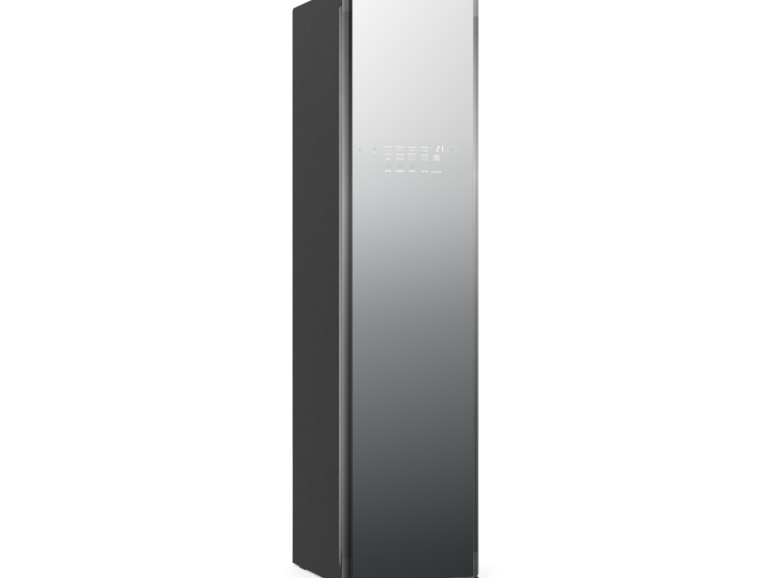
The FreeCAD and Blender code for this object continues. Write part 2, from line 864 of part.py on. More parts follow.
def front_foot(side):
    """Levelling foot: a hexagonal pad that is turned by hand, on a stud."""
    x = side * foot_x
    corners = [V(x + across, foot_front_y + along, 0) for across, along in hexagon(foot_pad_radius)]
    pad = prism(corners, V(0, 0, foot_pad_height))
    centre = V(x, foot_front_y, 0)
    return fuse([pad, rod(centre, centre + V(0, 0, foot_stud_top), foot_stud_radius)])


def rear_feet():
    """Two fixed blocks under the base, narrower at the floor."""
    feet = []
    y = case_rear - rear_foot_inset
    for side in (-1, 1):
        x = side * foot_x
        top = [V(x + sx * rear_foot_width / 2, y + sy * rear_foot_length / 2, base_bottom)
               for sx, sy in ((-1, -1), (1, -1), (1, 1), (-1, 1))]
        low = [V(x + sx * (rear_foot_width / 2 - rear_foot_taper),
                 y + sy * (rear_foot_length / 2 - rear_foot_taper), 0)
               for sx, sy in ((-1, -1), (1, -1), (1, 1), (-1, 1))]
        wires = [Part.makePolygon(ring + [ring[0]]) for ring in (low, top)]
        feet.append(Part.makeLoft(wires, True, True))
    return feet


def cord_gland():
    """Bush with a hexagonal flange that lines the supply inlet in the service cover."""
    at = V(gland_x, 0, gland_z)
    corners = [at + V(across, case_rear, up) for across, up in hexagon(gland_radius)]
    flange = prism(corners, V(0, rear_relief, 0))
    sleeve = rod(at + V(0, case_rear - gland_depth, 0), at + V(0, rear, 0),
                 gland_radius - rear_relief - run_gap)
    bore = rod(at + V(0, case_rear - gland_depth - overcut, 0), at + V(0, rear + overcut, 0), gland_bore)
    return fuse([flange, sleeve]).cut(bore)


# ------------------------------------------------------------------ cabin floor pieces and shelf
def floor_grille():
    """Air grille: a rim and cross bars."""
    rim = grille_place(0, (cabin_floor, cabin_floor + grille_rise))
    rim = rounded(rim, Z_AXIS, grille_bar)
    window = grille_place(grille_rim, (cabin_floor - overcut, cabin_floor + grille_rise + overcut))
    bars = []
    low = grille_front + grille_bar * 2
    high = grille_front + grille_length - grille_bar * 3
    for y in spread(grille_bar_count, low, high):
        bars.append(box((-grille_width / 2 + grille_bar, grille_width / 2 - grille_bar),
                        (y, y + grille_bar), (cabin_floor, cabin_floor + grille_rise)))
    return fuse([rim.cut(window)] + bars)


def lint_filter():
    """Filter frame with cross bars and a raised grip."""
    z = (cabin_floor - filter_depth, cabin_floor)
    body = filter_place(0, z)
    body = rounded(body, Z_AXIS, filter_bar)
    windows = []
    cells = spread(filter_cell_count + 1, -filter_width / 2 + filter_bar, filter_width / 2 - filter_bar)
    for left, right in zip(cells, cells[1:]):
        windows.append(box((left, right - filter_bar / 2),
                           (filter_front + filter_bar, filter_front + filter_length - filter_bar),
                           (z[0] + filter_bar, z[1] + overcut)))
    middle = filter_front + filter_length / 2
    post = box((-filter_grip_width / 2, filter_grip_width / 2), (middle - filter_bar, middle + filter_bar),
               (z[0], z[1] + filter_grip_rise))
    post = rounded(post, Y_AXIS, filter_bar, lambda p: p.z > z[1])
    return fuse([cut(body, windows), post])


def scent_cassette():
    """Cassette with slots over the scent sheet and a grip tab."""
    z = (cabin_floor - cassette_depth, cabin_floor + grille_rise)
    body = rounded(cassette_place(0, z), Z_AXIS, filter_bar)
    low = cassette_x - cassette_width / 2 + 2 * filter_bar
    high = cassette_x + cassette_width / 2 - 3 * filter_bar
    slots = [box((x, x + filter_bar), (cassette_y - cassette_slot_half, cassette_y + cassette_slot_half),
                 (z[1] - filter_bar, z[1] + overcut)) for x in spread(cassette_slot_count, low, high)]
    tab = box((cassette_x - filter_bar * 2, cassette_x + filter_bar * 2),
              (cassette_y - cassette_length / 2, cassette_y - cassette_length / 2 + filter_bar),
              (z[0], z[1] + filter_bar))
    return fuse([cut(body, slots), tab])


def steam_nozzle():
    """Steam outlet through the cabin floor: a body, a bevelled flange and three slots."""
    low = cabin_floor - nozzle_drop
    body = nozzle_block(0, (low, cabin_floor))
    flange = nozzle_block(nozzle_flange, (cabin_floor, cabin_floor + 2 * grille_rise))
    flange = chamfered(flange, X_AXIS, grille_rise, lambda p: p.z > cabin_floor + grille_rise)
    slots = []
    reach = nozzle_half - nozzle_margin
    half = nozzle_half - nozzle_end
    for x in spread(nozzle_slot_count, nozzle_x - reach, nozzle_x + reach - nozzle_slot):
        slots.append(box((x, x + nozzle_slot), (nozzle_y - half, nozzle_y + half),
                         (low + grille_bar, cabin_floor + 3 * grille_rise)))
    return cut(fuse([body, flange]), slots)


def nozzle_block(grow, z):
    """The block that the steam outlet takes up."""
    reach = nozzle_half + grow
    return box((nozzle_x - reach, nozzle_x + reach), (nozzle_y - reach, nozzle_y + reach), z)


def shelf():
    """Lift-out shelf with long slots and a front edge turned down."""
    edge = cabin_half - shelf_side_gap
    y = (shelf_front, cabin_rear - shelf_rear_gap)
    body = box((-edge, edge), y, (shelf_height, shelf_height + shelf_thickness))
    body = rounded(body, Z_AXIS, cabin_radius)
    tray = box((-edge + shelf_lip, edge - shelf_lip), (y[0] + shelf_lip, y[1] - shelf_lip),
               (shelf_height + shelf_thickness / 2, shelf_height + shelf_thickness + overcut))
    tray = rounded(tray, Z_AXIS, cabin_radius - shelf_lip)
    slots = []
    for x in spread(shelf_slot_count, -edge + shelf_rim, edge - shelf_rim - shelf_slot_width):
        slots.append(box((x, x + shelf_slot_width), (y[0] + shelf_rim, y[1] - shelf_rim),
                         (shelf_height - overcut, shelf_height + shelf_thickness)))
    return cut(body, [tray] + slots)


# ------------------------------------------------------------------ hanger drive
def hanger_bar():
    """Grooved bar, its two necks and the slotted carriage that the crank drives, welded in one."""
    low = V(-bar_half, bar_y, bar_z)
    bar = rod(low, low + V(2 * bar_half, 0, 0), bar_radius)
    rings = []
    for x in hanger_places():
        groove = rod(V(x - groove_width / 2, bar_y, bar_z), V(x + groove_width / 2, bar_y, bar_z),
                     bar_radius + overcut)
        core = rod(V(x - groove_width / 2, bar_y, bar_z), V(x + groove_width / 2, bar_y, bar_z),
                   groove_radius)
        rings.append(groove.cut(core))
    bar = cut(bar, rings)
    necks = [box((x - neck_width / 2, x + neck_width / 2), (bar_y - neck_depth / 2, bar_y + neck_depth / 2),
                 (bar_z, carriage_bottom + overcut)) for x in (-neck_x, neck_x)]
    block = box((-carriage_half, carriage_half), (bar_y - carriage_depth / 2, bar_y + carriage_depth / 2),
                (carriage_bottom, carriage_top))
    bores = [rod(V(-carriage_half - overcut, bar_y + side * rod_spread, rod_z),
                 V(carriage_half + overcut, bar_y + side * rod_spread, rod_z), rod_radius + run_gap)
             for side in (-1, 1)]
    pad = box((-yoke_half, yoke_half), (bar_y - overcut, bar_y + yoke_depth), (carriage_top, yoke_top))
    slot_half = crank_pin_radius + crank_pin_gap
    slot = box((-slot_half, slot_half),
               (bar_y + overcut, bar_y + crank_throw + slot_half + overcut),
               (carriage_top, yoke_top + overcut))
    return fuse([bar] + necks + [cut(block, bores), pad.cut(slot)])


def hanger_places():
    """Where the three hangers hang along the bar."""
    return spread(hanger_count, -hanger_pitch, hanger_pitch)


def drive_bracket():
    """Plate on the cabin's ceiling with the guide rods, and the bridge over the crank."""
    half = carriage_depth / 2
    plate = box((-rod_half, rod_half), (bar_y - half, bar_y + half), (liner_top, liner_top + bridge_sheet))
    plate = cut(plate, neck_slots((liner_top - overcut, liner_top + bridge_sheet + overcut)))
    rods = [rod(V(-rod_half, y, rod_z), V(rod_half, y, rod_z), rod_radius)
            for y in (bar_y - rod_spread, bar_y + rod_spread)]
    blocks = [box((x - rod_block / 2, x + rod_block / 2), (bar_y - half, bar_y + half),
                  (liner_top, carriage_top)) for x in (-rod_half, rod_half)]
    far = half + crank_clear + bridge_sheet
    x = (-bridge_half, bridge_half)
    walls = [box(x, (bar_y + low, bar_y + low + bridge_sheet), (liner_top, bridge_top))
             for low in (-far, far - bridge_sheet)]
    flange = bridge_sheet + crank_clear
    feet = [box(x, (bar_y + low, bar_y + low + flange), (liner_top, liner_top + bridge_sheet))
            for low in (-far, far - flange)]
    roof = box(x, (bar_y - far, bar_y + far), (bridge_bottom, bridge_top))
    hole = rod(V(0, bar_y, bridge_bottom - overcut), V(0, bar_y, bridge_top + overcut),
               crank_shaft_radius + crank_clear)
    return fuse([plate] + rods + blocks + walls + feet + [roof.cut(hole)])


def crank():
    """Disc with a drive pin below and the shaft above."""
    centre = V(0, bar_y, 0)
    disc = rod(centre + V(0, 0, crank_bottom), centre + V(0, 0, crank_top), crank_radius)
    pin_at = centre + V(0, crank_throw, 0)
    pin = rod(pin_at + V(0, 0, carriage_top + crank_clear), pin_at + V(0, 0, crank_top), crank_pin_radius)
    shaft = rod(centre + V(0, 0, crank_bottom), centre + V(0, 0, bridge_top + gearbox_height / 2),
                crank_shaft_radius)
    return fuse([disc, pin, shaft])


def gear_motor():
    """Gearbox on the bridge with its motor above."""
    gearbox = box((-gearbox_half, gearbox_half), (bar_y - gearbox_half, bar_y + gearbox_half),
                  (bridge_top, bridge_top + gearbox_height))
    gearbox = rounded(gearbox, Z_AXIS, gearbox_radius)
    low = V(0, bar_y, bridge_top + gearbox_height)
    can = rod(low, low + V(0, 0, motor_height), motor_radius)
    bore = rod(V(0, bar_y, bridge_top - overcut), V(0, bar_y, bridge_top + gearbox_height / 2 + overcut),
               crank_shaft_radius + run_gap)
    return fuse([gearbox, can]).cut(bore)


def hanger(x):
    """Shoulder hanger whose hook goes round the bar's groove."""
    inner = groove_radius + seat_gap
    major = inner + hanger_wire
    outer = major + hanger_wire
    half = hanger_wire
    ring = Part.makeCylinder(outer, 2 * half, V(-half, 0, 0), X_AXIS)
    ring = ring.cut(Part.makeCylinder(inner, 2 * half, V(-half, 0, 0), X_AXIS))
    mouth = box((-half, half), (-outer - overcut, 0), (-hanger_mouth_low, hanger_mouth_high))
    ring = ring.cut(mouth)
    neck = box((-half, half), (-hanger_wire, hanger_wire), (-major - hanger_neck, -major))
    top = -major - hanger_neck + hanger_arm / 2
    low = top - hanger_arm
    end = top - hanger_slope
    shoulder = []
    for side in (-1, 1):
        reach = side * hanger_half
        tip = V(0, side * (hanger_half + hanger_tip_reach), end - hanger_tip_drop / 2)
        curves = [Part.Arc(V(0, 0, top), V(0, reach / 2, top - hanger_shoulder_drop), V(0, reach, end)),
                  Part.Arc(V(0, reach, end), tip, V(0, reach, end - hanger_tip_drop)),
                  Part.Arc(V(0, reach, end - hanger_tip_drop), V(0, reach / 2, low - hanger_under_drop),
                           V(0, 0, low)),
                  Part.LineSegment(V(0, 0, low), V(0, 0, top))]
        face = Part.Face(Part.Wire([curve.toShape() for curve in curves]))
        shoulder.append(face.extrude(V(hanger_thickness, 0, 0)))
    arms = fuse(shoulder)
    arms.translate(V(-hanger_thickness / 2, 0, 0))
    piece = fuse([ring, neck, arms])
    piece.translate(V(x, bar_y, bar_z))
    return piece


# ------------------------------------------------------------------ machinery
def machine_deck():
    """Folded deck over the base that carries the coils and the blower."""
    z = (base_floor, deck_top)
    outer = box((-deck_half, deck_half), (deck_front, deck_rear), z)
    inner = box((-deck_half + deck_sheet, deck_half - deck_sheet),
                (deck_front - overcut, deck_rear + overcut), (z[0] - overcut, deck_height))
    shaft_low = V(blower_x, blower_y, deck_height - overcut)
    holes = [rod(shaft_low, shaft_low + V(0, 0, deck_sheet + 2 * overcut), shaft_hole)]
    for x, y, reach in pipe_passes():
        holes.append(box((x - reach, x + reach), (y - hose_bend / 2, y + hose_bend / 2),
                         (deck_height - overcut, deck_top + overcut)))
    return cut(outer, [inner] + holes)


def pipe_passes():
    """Where pipes and hoses pass through the deck, each with the half width of its slot."""
    return [(compressor_x, compressor_y, compressor_radius / 2), (boiler_x, boiler_y, hose_bend / 2)]


def coil(y):
    """Finned coil: end frames, fins between two rails, and return bends at its left end."""
    half = coil_depth / 2
    z = (deck_top, deck_top + coil_height)
    pieces = [box((coil_left, coil_left + coil_frame), (y - half, y + half), z),
              box((coil_right - coil_frame, coil_right), (y - half, y + half), z),
              box((coil_left, coil_right), (y - half, y + half), (z[0], z[0] + coil_frame)),
              box((coil_left, coil_right), (y - half, y + half), (z[1] - coil_frame, z[1]))]
    for x in spread(coil_fin_count, coil_left + 2 * coil_frame, coil_right - 2 * coil_frame):
        pieces.append(box((x, x + coil_fin), (y - half + coil_fin, y + half - coil_fin), z))
    levels = spread(coil_passes, z[0] + 3 * coil_frame, z[1] - 3 * coil_frame)
    bend = (levels[1] - levels[0]) / 2
    for low in levels[::2]:
        centre = V(coil_left, y - coil_tube_radius, low + bend)
        outer = Part.makeCylinder(bend + coil_tube_radius, 2 * coil_tube_radius, centre, Y_AXIS)
        inner = Part.makeCylinder(bend - coil_tube_radius, 2 * coil_tube_radius, centre, Y_AXIS)
        half_space = box((coil_left - coil_height, coil_left), (y - half, y + half), z)
        pieces.append(outer.cut(inner).common(half_space))
    port = V(coil_right, y, coil_port())
    header = rod(port, port + V(coil_header_reach, 0, 0), coil_tube_radius)
    return fuse(pieces + [header])


def coil_port():
    """Height of the coils' pipe connection."""
    return deck_top + coil_port_rise


def blower_scroll(inset, z):
    """Scroll outline: a round body with a straight outlet to the rear."""
    round_body = rod(V(blower_x, blower_y, z[0]), V(blower_x, blower_y, z[1]), scroll_radius - inset)
    outlet = box((blower_x - scroll_radius + inset, blower_x - scroll_radius + scroll_outlet - inset),
                 (blower_y, blower_y + scroll_radius + scroll_throat), z)
    return fuse([round_body, outlet])


def blower_housing():
    """Open-ended scroll housing with an inlet ring."""
    z = (deck_top, deck_top + scroll_height)
    shell = blower_scroll(0, z)
    inner = blower_scroll(scroll_wall, (z[0] + scroll_wall, z[1] - scroll_wall))
    edge = blower_x - scroll_radius
    mouth = box((edge + scroll_wall, edge + scroll_outlet - scroll_wall),
                (blower_y, blower_y + scroll_radius + scroll_throat + overcut),
                (z[0] + scroll_wall, z[1] - scroll_wall))
    through = V(0, 0, scroll_wall + 2 * overcut)
    inlet_low = V(blower_x, blower_y, z[1] - scroll_wall - overcut)
    inlet = rod(inlet_low, inlet_low + through, scroll_inlet)
    shaft_low = V(blower_x, blower_y, z[0] - overcut)
    shaft = rod(shaft_low, shaft_low + through, shaft_hole)
    return cut(shell, [inner, mouth, inlet, shaft])


def blower_wheel():
    """Open centrifugal wheel: back plate, hub, leaning blades and shaft."""
    low = deck_top + scroll_wall * 2 + wheel_plate
    centre = V(blower_x, blower_y, low)
    plate = rod(centre, centre + V(0, 0, wheel_plate), wheel_radius)
    hub = rod(centre, centre + V(0, 0, wheel_height / 2), wheel_hub)
    shaft = rod(centre - V(0, 0, wheel_shaft_length), centre + V(0, 0, wheel_height / 2),
                wheel_shaft_radius)
    pieces = [plate, hub, shaft]
    for index in range(wheel_blades):
        blade = box((-wheel_blade_length + overcut, 0), (0, wheel_blade), (overcut, wheel_height))
        blade.rotate(V(0, 0, 0), Z_AXIS, wheel_blade_lean)
        blade.translate(V(wheel_radius - overcut, 0, 0))
        blade.rotate(V(0, 0, 0), Z_AXIS, 360 * index / wheel_blades)
        blade.translate(centre)
        pieces.append(blade)
    return fuse(pieces)


def blower_motor():
    """Motor hung under the deck on its flange."""
    top = V(blower_x, blower_y, deck_height)
    reach = fan_motor_radius + fan_flange
    flange = box((top.x - reach, top.x + reach), (top.y - reach, top.y + reach),
                 (top.z - wheel_plate, top.z))
    can = rod(top, top - V(0, 0, fan_motor_height), fan_motor_radius)
    bore = rod(top + V(0, 0, overcut), top - V(0, 0, fan_motor_height / 2), wheel_shaft_radius + run_gap)
    return fuse([flange, can]).cut(bore)


def compressor():
    """Hermetic can with a sloping crown on three feet, and two pipe stubs on the crown."""
    low = compressor_bottom
    high = compressor_bottom + compressor_height
    radius = compressor_radius
    rim = radius - compressor_dome
    outline = [V(0, 0, low), V(radius, 0, low), V(radius, 0, high - compressor_dome), V(rim, 0, high),
               V(0, 0, high), V(0, 0, low)]
    can = Part.Face(Part.makePolygon(outline)).revolve(V(0, 0, 0), Z_AXIS, 360)
    pieces = [can]
    for index in range(compressor_feet):
        foot = box((compressor_foot - grommet_radius, compressor_foot + grommet_radius),
                   (-grommet_radius, grommet_radius), (base_floor, low))
        foot.rotate(V(0, 0, 0), Z_AXIS, 360 / compressor_feet * index)
        pieces.append(foot)
    for side in (-1, 1):
        at = V(side * stub_spread, 0, 0)
        pieces.append(rod(at + V(0, 0, high - compressor_dome), at + V(0, 0, stub_top), stub_radius))
    body = fuse(pieces)
    body.translate(V(compressor_x, compressor_y, 0))
    return body


def refrigerant_pipes():
    """Copper pipes from the compressor's stubs to the two coils."""
    port = coil_port()
    near, far = [compressor_x + side * stub_spread for side in (-1, 1)]
    tip = coil_right + coil_header_reach
    discharge = pipe([V(near, compressor_y, stub_top), V(near, compressor_y, port - 2 * pipe_bend),
                      V(near, condenser_y, port), V(tip, condenser_y, port)], stub_radius, pipe_bend / 2)
    suction = pipe([V(far, compressor_y, stub_top), V(far, compressor_y, port), V(far, evaporator_y, port),
                    V(tip, evaporator_y, port)], stub_radius, pipe_bend)
    return [discharge, suction]


def steam_generator():
    """Vertical boiler on a square foot, with its inlet and its steam spout."""
    low = V(boiler_x, boiler_y, base_floor)
    top = low + V(0, 0, boiler_height)
    reach = boiler_radius + boiler_foot
    foot = box((low.x - reach, low.x + reach), (low.y - reach, low.y + reach), (low.z, low.z + boiler_foot))
    can = rod(low, top, boiler_radius)
    spout = rod(top, V(boiler_x, boiler_y, boiler_top), hose_radius)
    inlet = low + V(0, 0, boiler_inlet_rise)
    stub = rod(inlet, inlet - V(boiler_radius + boiler_inlet_reach, 0, 0), hose_radius)
    return fuse([foot, can, spout, stub])


def pump(y):
    """Small water pump on the base floor with a spout on top."""
    low = V(pump_x, y, base_floor)
    foot = box((pump_x - pump_radius - pump_foot, pump_x + pump_radius + pump_foot),
               (y - pump_radius, y + pump_radius), (base_floor, base_floor + pump_foot))
    can = box((pump_x - pump_radius, pump_x + pump_radius),
              (y - pump_radius + pump_foot / 2, y + pump_radius - pump_foot / 2),
              (base_floor, base_floor + pump_height))
    can = chamfered(can, Y_AXIS, pump_foot, lambda p: p.z > base_floor + pump_foot)
    neck = rod(low + V(0, 0, pump_height), low + V(0, 0, pump_height + pump_foot * 2), hose_radius)
    return fuse([foot, can, neck])


def water_pumps():
    """Supply pump in front, drain pump behind."""
    return [pump(pump_front_y), pump(pump_front_y + pump_pitch)]


def water_hoses():
    """Supply hose to the boiler, drain hose to the tank bay and steam hose to the nozzle."""
    outlet = base_floor + pump_height + pump_foot * 2
    feed_z = base_floor + boiler_inlet_rise
    rise = outlet + 2 * hose_bend
    feed_end = boiler_x - boiler_radius - boiler_inlet_reach
    supply = pipe([V(pump_x, pump_front_y, outlet), V(pump_x, pump_front_y, rise),
                   V(feed_end - 3 * hose_bend, boiler_y, rise),
                   V(feed_end - 3 * hose_bend, boiler_y, feed_z), V(feed_end, boiler_y, feed_z)],
                  hose_radius, tight_hose_bend)
    drain_y = pump_front_y + pump_pitch
    drain = pipe([V(pump_x, drain_y, outlet), V(pump_x, drain_y, rise + hose_bend),
                  V(pump_x - hose_bend, bay_back + 3 * hose_bend, rise + 2 * hose_bend),
                  V(pump_x - hose_bend, bay_back, rise + 2 * hose_bend)], hose_radius, hose_bend)
    nozzle_low = cabin_floor - nozzle_drop
    turn = nozzle_low - hose_bend - hose_radius
    steam = pipe([V(boiler_x, boiler_y, boiler_top), V(boiler_x, boiler_y, turn),
                  V(nozzle_x, nozzle_y, turn), V(nozzle_x, nozzle_y, nozzle_low)], hose_radius, hose_bend)
    return [supply, drain, steam]


def control_box():
    """Control board case on the cabin's ceiling, with ventilation slots."""
    x = (control_x, control_x + control_width)
    y = (control_y, control_y + control_length)
    body = box(x, y, (liner_top, liner_top + control_height))
    body = rounded(body, Z_AXIS, control_radius)
    top = liner_top + control_height
    slots = [box((x[0] + control_margin, x[1] - control_margin), (at, at + control_slot),
                 (top - control_slot, top + overcut))
             for at in spread(control_slot_count, y[0] + control_margin, y[1] - control_margin)]
    return cut(body, slots)


# ------------------------------------------------------------------ tanks
def tank(side):
    """Water tank with rounded edges, a finger recess in its front and a stepped lid."""
    inner = side * (bay_wall / 2 + tank_gap)
    outer = side * (cabin_half - tank_gap)
    x = (min(inner, outer), max(inner, outer))
    y = (tank_front, bay_rear - tank_gap)
    z = (bay_floor, bay_floor + tank_height)
    body = rounded(box(x, y, z), Z_AXIS, tank_radius)
    floor = [edge for edge in body.Edges if edge.BoundBox.ZMax < z[0] + seat_gap]
    body = body.makeChamfer(tank_base_radius, floor)
    lid = box((x[0] + tank_lid_inset, x[1] - tank_lid_inset),
              (y[0] + tank_lid_inset, y[1] - tank_lid_inset), (z[1], z[1] + tank_lid))
    lid = rounded(lid, Z_AXIS, tank_radius - tank_lid_inset)
    middle = (x[0] + x[1]) / 2
    top = z[1] - tank_handle_drop
    recess = box((middle - tank_handle_width / 2, middle + tank_handle_width / 2),
                 (y[0] - overcut, y[0] + tank_handle_depth), (top - tank_handle_height, top))
    recess = rounded(recess, Y_AXIS, tank_handle_radius)
    return fuse([body.cut(recess), lid])


# ------------------------------------------------------------------ door
def door_glass():
    """Mirror glass with bevelled front edges."""
    pane = box((-glass_half, glass_half), (glass_front, glass_back), (glass_bottom, glass_top))
    pane = chamfered(pane, Z_AXIS, glass_chamfer, lambda p: p.y < glass_front + seat_gap)
    return chamfered(pane, X_AXIS, glass_chamfer, lambda p: p.y < glass_front + seat_gap)


def arc_point(centre, radius, angle):
    """The place on a level circle at an angle from +X."""
    return centre + V(radius * math.cos(angle), radius * math.sin(angle), 0)


def band(inset, z):
    """Full section of the left side profile: a quarter round front that runs into a rounded rear edge."""
    outer = band_width - inset
    inner = band_rear_radius - inset
    middle = V(-band_edge, front + band_width, z[0])
    back = door_back - inset
    rise = back - inner - middle.y
    rear_middle = middle + V(-math.sqrt((outer - inner) ** 2 - rise ** 2), rise, 0)
    turn = math.pi - math.asin(rise / (outer - inner))
    first = 1.5 * math.pi
    last = math.pi / 2
    nose = Part.Arc(arc_point(middle, outer, first), arc_point(middle, outer, (first + turn) / 2),
                    arc_point(middle, outer, turn))
    tail = Part.Arc(arc_point(rear_middle, inner, turn), arc_point(rear_middle, inner, (turn + last) / 2),
                    arc_point(rear_middle, inner, last))
    corners = [arc_point(rear_middle, inner, last), V(0, back, z[0]), V(0, front + inset, z[0]),
               arc_point(middle, outer, first)]
    edges = [nose.toShape(), tail.toShape()]
    edges += [Part.makeLine(a, b) for a, b in zip(corners, corners[1:])]
    section = Part.Face(Part.Wire(Part.__sortEdges__(edges)))
    return section.extrude(V(0, 0, z[1] - z[0]))


def flange_step(z):
    """The step in the side profile's rear that the back panel sits in."""
    return box((-flange_edge, 0), (door_back - back_thickness - seat_gap, door_back + overcut), z)


def left_band_section(z):
    """The left side profile's section up to the glass, solid inside."""
    whole = band(0, z).common(box((-half_width, -band_edge), (front, door_back), z))
    return whole.cut(flange_step(z))


def left_door_frame():
    """Hollow metal profile with a tongue behind the glass."""
    z = (arm_top, arm_bottom)
    hollow = band(band_wall, (z[0] - overcut, z[1] + overcut))
    skin = left_band_section(z).cut(hollow)
    seat = glass_back + seat_gap
    web = box((-band_edge - band_wall, -band_edge), (front + band_wall / 2, seat + band_wall), z)
    web = web.common(left_band_section(z))
    tongue = box((-band_edge - band_wall, -band_edge + back_flange), (seat, seat + band_wall), z)
    return fuse([skin, web, tongue])


def right_door_frame():
    """The same profile at the hinge side."""
    return mirrored(left_door_frame())


def door_outline(z):
    """Front outline of the door with rounded outer corners, as a cutting block."""
    block = box((-half_width, half_width), (front - overcut, door_back + overcut), (door_bottom, door_top))
    block = rounded(block, Y_AXIS, door_outline_radius)
    return block.common(box((-half_width, half_width), (front - overcut, door_back + overcut), z))


def end_cap(arm, bar, lip_):
    """Moulded cap: an arm beside the glass on each side and a bar behind the glass."""
    left = left_band_section(arm)
    bar_block = box((-band_edge - overcut, band_edge + overcut), (glass_back + seat_gap, door_back), bar)
    edge = box((-band_edge - overcut, band_edge + overcut), (front, door_back), lip_)
    cap = fuse([left, mirrored(left), bar_block, edge])
    return cap.common(door_outline(arm))


def cap_bore(z):
    """Hole for a hinge bush."""
    return rod(V(pivot_x, pivot_y, z[0]), V(pivot_x, pivot_y, z[1]), pin_radius + bush_wall + run_gap)


def top_door_cap():
    """Upper end cap with the hole for the hinge bush."""
    cap = end_cap((arm_bottom + seat_gap, door_top), (bar_high_bottom, door_top),
                  (glass_top + seat_gap, door_top))
    return cap.cut(cap_bore((door_top - pin_length - overcut, door_top + overcut)))


def bottom_door_cap():
    """Lower end cap with the hole for the hinge bush."""
    cap = end_cap((door_bottom, arm_top - seat_gap), (door_bottom, bar_low_top),
                  (door_bottom, glass_bottom - seat_gap))
    return cap.cut(cap_bore((door_bottom - overcut, door_bottom + pin_length + overcut)))


def door_foam():
    """Core between the glass and the back panel, with a seat for the display module."""
    y = (glass_back + band_wall + 2 * seat_gap, door_back - back_thickness - seat_gap)
    middle = box((-band_edge + seat_gap, band_edge - seat_gap), y,
                 (bar_low_top + seat_gap, bar_high_bottom - seat_gap))
    wide = box((-flange_edge + seat_gap, flange_edge - seat_gap), y,
               (arm_top + seat_gap, arm_bottom - seat_gap))
    nose = box((-band_edge + back_flange + seat_gap, band_edge - back_flange - seat_gap),
               (glass_back + seat_gap, y[1]), (bar_low_top + seat_gap, bar_high_bottom - seat_gap))
    left = -glass_half + display_left
    seat = box((left - seat_gap, left + display_width + seat_gap),
               (front, glass_back + seat_gap + display_thickness + seat_gap),
               (display_bottom - seat_gap, display_bottom + display_height + seat_gap))
    return fuse([middle, wide, nose]).cut(seat)


def display_module():
    """Touch display board behind the glass, with its connector block."""
    left = -glass_half + display_left
    y = glass_back + seat_gap
    board = box((left, left + display_width), (y, y + display_thickness / 2),
                (display_bottom, display_bottom + display_height))
    x = left + (display_width - display_block_width) / 2
    z = display_bottom + (display_height - display_block_height) / 2
    block = box((x, x + display_block_width), (y, y + display_thickness), (z, z + display_block_height))
    return fuse([rounded(board, Y_AXIS, deck_sheet), block])


def gasket_ring(y, trim):
    """Ring round the cabin opening; trim takes its section in on each side."""
    inner = gasket_inset + trim
    outer = gasket_inset + gasket_width - trim
    outside = box((-cabin_half - outer, cabin_half + outer), y,
                  (cabin_floor - outer, cabin_ceiling + outer))
    inside = box((-cabin_half - inner, cabin_half + inner), (y[0] - overcut, y[1] + overcut),
                 (cabin_floor - inner, cabin_ceiling + inner))
    outside = rounded(outside, Y_AXIS, cabin_radius + outer)
    return outside.cut(rounded(inside, Y_AXIS, cabin_radius + inner))


def door_gasket():
    """Soft seal seated in the back panel's groove."""
    foot = gasket_ring((door_back - gasket_seat + seat_gap, door_back), seat_gap)
    bulb = gasket_ring((door_back, case_front - seat_gap), seat_gap * 2)
    return fuse([foot, bulb])


def door_back_panel():
    """Moulded inner door with a hollow raised plateau inside the gasket."""
    half = flange_edge - seat_gap
    plate = box((-half, half), (door_back - back_thickness, door_back),
                (bar_low_top + seat_gap, bar_high_bottom - seat_gap))
    groove = gasket_ring((door_back - gasket_seat, door_back + overcut), 0)
    raised = plateau(0, (door_back - overcut, plateau_y))
    soft = [edge for edge in raised.Edges if edge.BoundBox.YMin > plateau_y - seat_gap]
    raised = raised.makeChamfer(plateau_wall, soft)
    hollow = plateau(plateau_wall, (door_back - back_thickness - overcut, plateau_y - plateau_wall))
    return cut(fuse([plate.cut(groove), raised]), [hollow])


def plateau(inset, y):
    """Outline of the raised back, taken in by a wall."""
    margin = plateau_inset + inset
    half = cabin_half - margin
    block = box((-half, half), y, (cabin_floor + margin, cabin_ceiling - margin))
    return rounded(block, Y_AXIS, plateau_radius - inset)


def grip_rail():
    """Folded metal rail behind the door's free edge, with a lip for the fingers."""
    outer = -half_width
    inner = outer + rail_inset
    z = (pocket_bottom + rail_end_gap, pocket_top - rail_end_gap)
    y_face = door_back + rail_set_back
    y_lip = y_face + rail_face
    points = [V(inner + rail_foot, door_back, z[0]), V(inner, door_back, z[0]), V(inner, y_face, z[0]),
              V(outer, y_face, z[0]), V(outer, y_lip, z[0]), V(outer + rail_lip, y_lip, z[0])]
    path = route(points, rail_bend / 2)
    strip = path.makeOffset2D(-rail_sheet, 0, True, True)
    if strip.BoundBox.XMin < outer - seat_gap:
        strip = path.makeOffset2D(rail_sheet, 0, True, True)
    rail = strip.extrude(V(0, 0, z[1] - z[0]))
    side = outer - overcut
    back = y_lip + overcut
    ends = []
    for end, way in ((z[0], 1), (z[1], -1)):
        slant = [V(side, door_back, end), V(side, back, end + way * rail_end_rise),
                 V(side, back, end - way * overcut), V(side, door_back, end - way * overcut)]
        ends.append(prism(slant, V(rail_inset + rail_foot + 2 * overcut, 0, 0)))
    return cut(rail, ends)


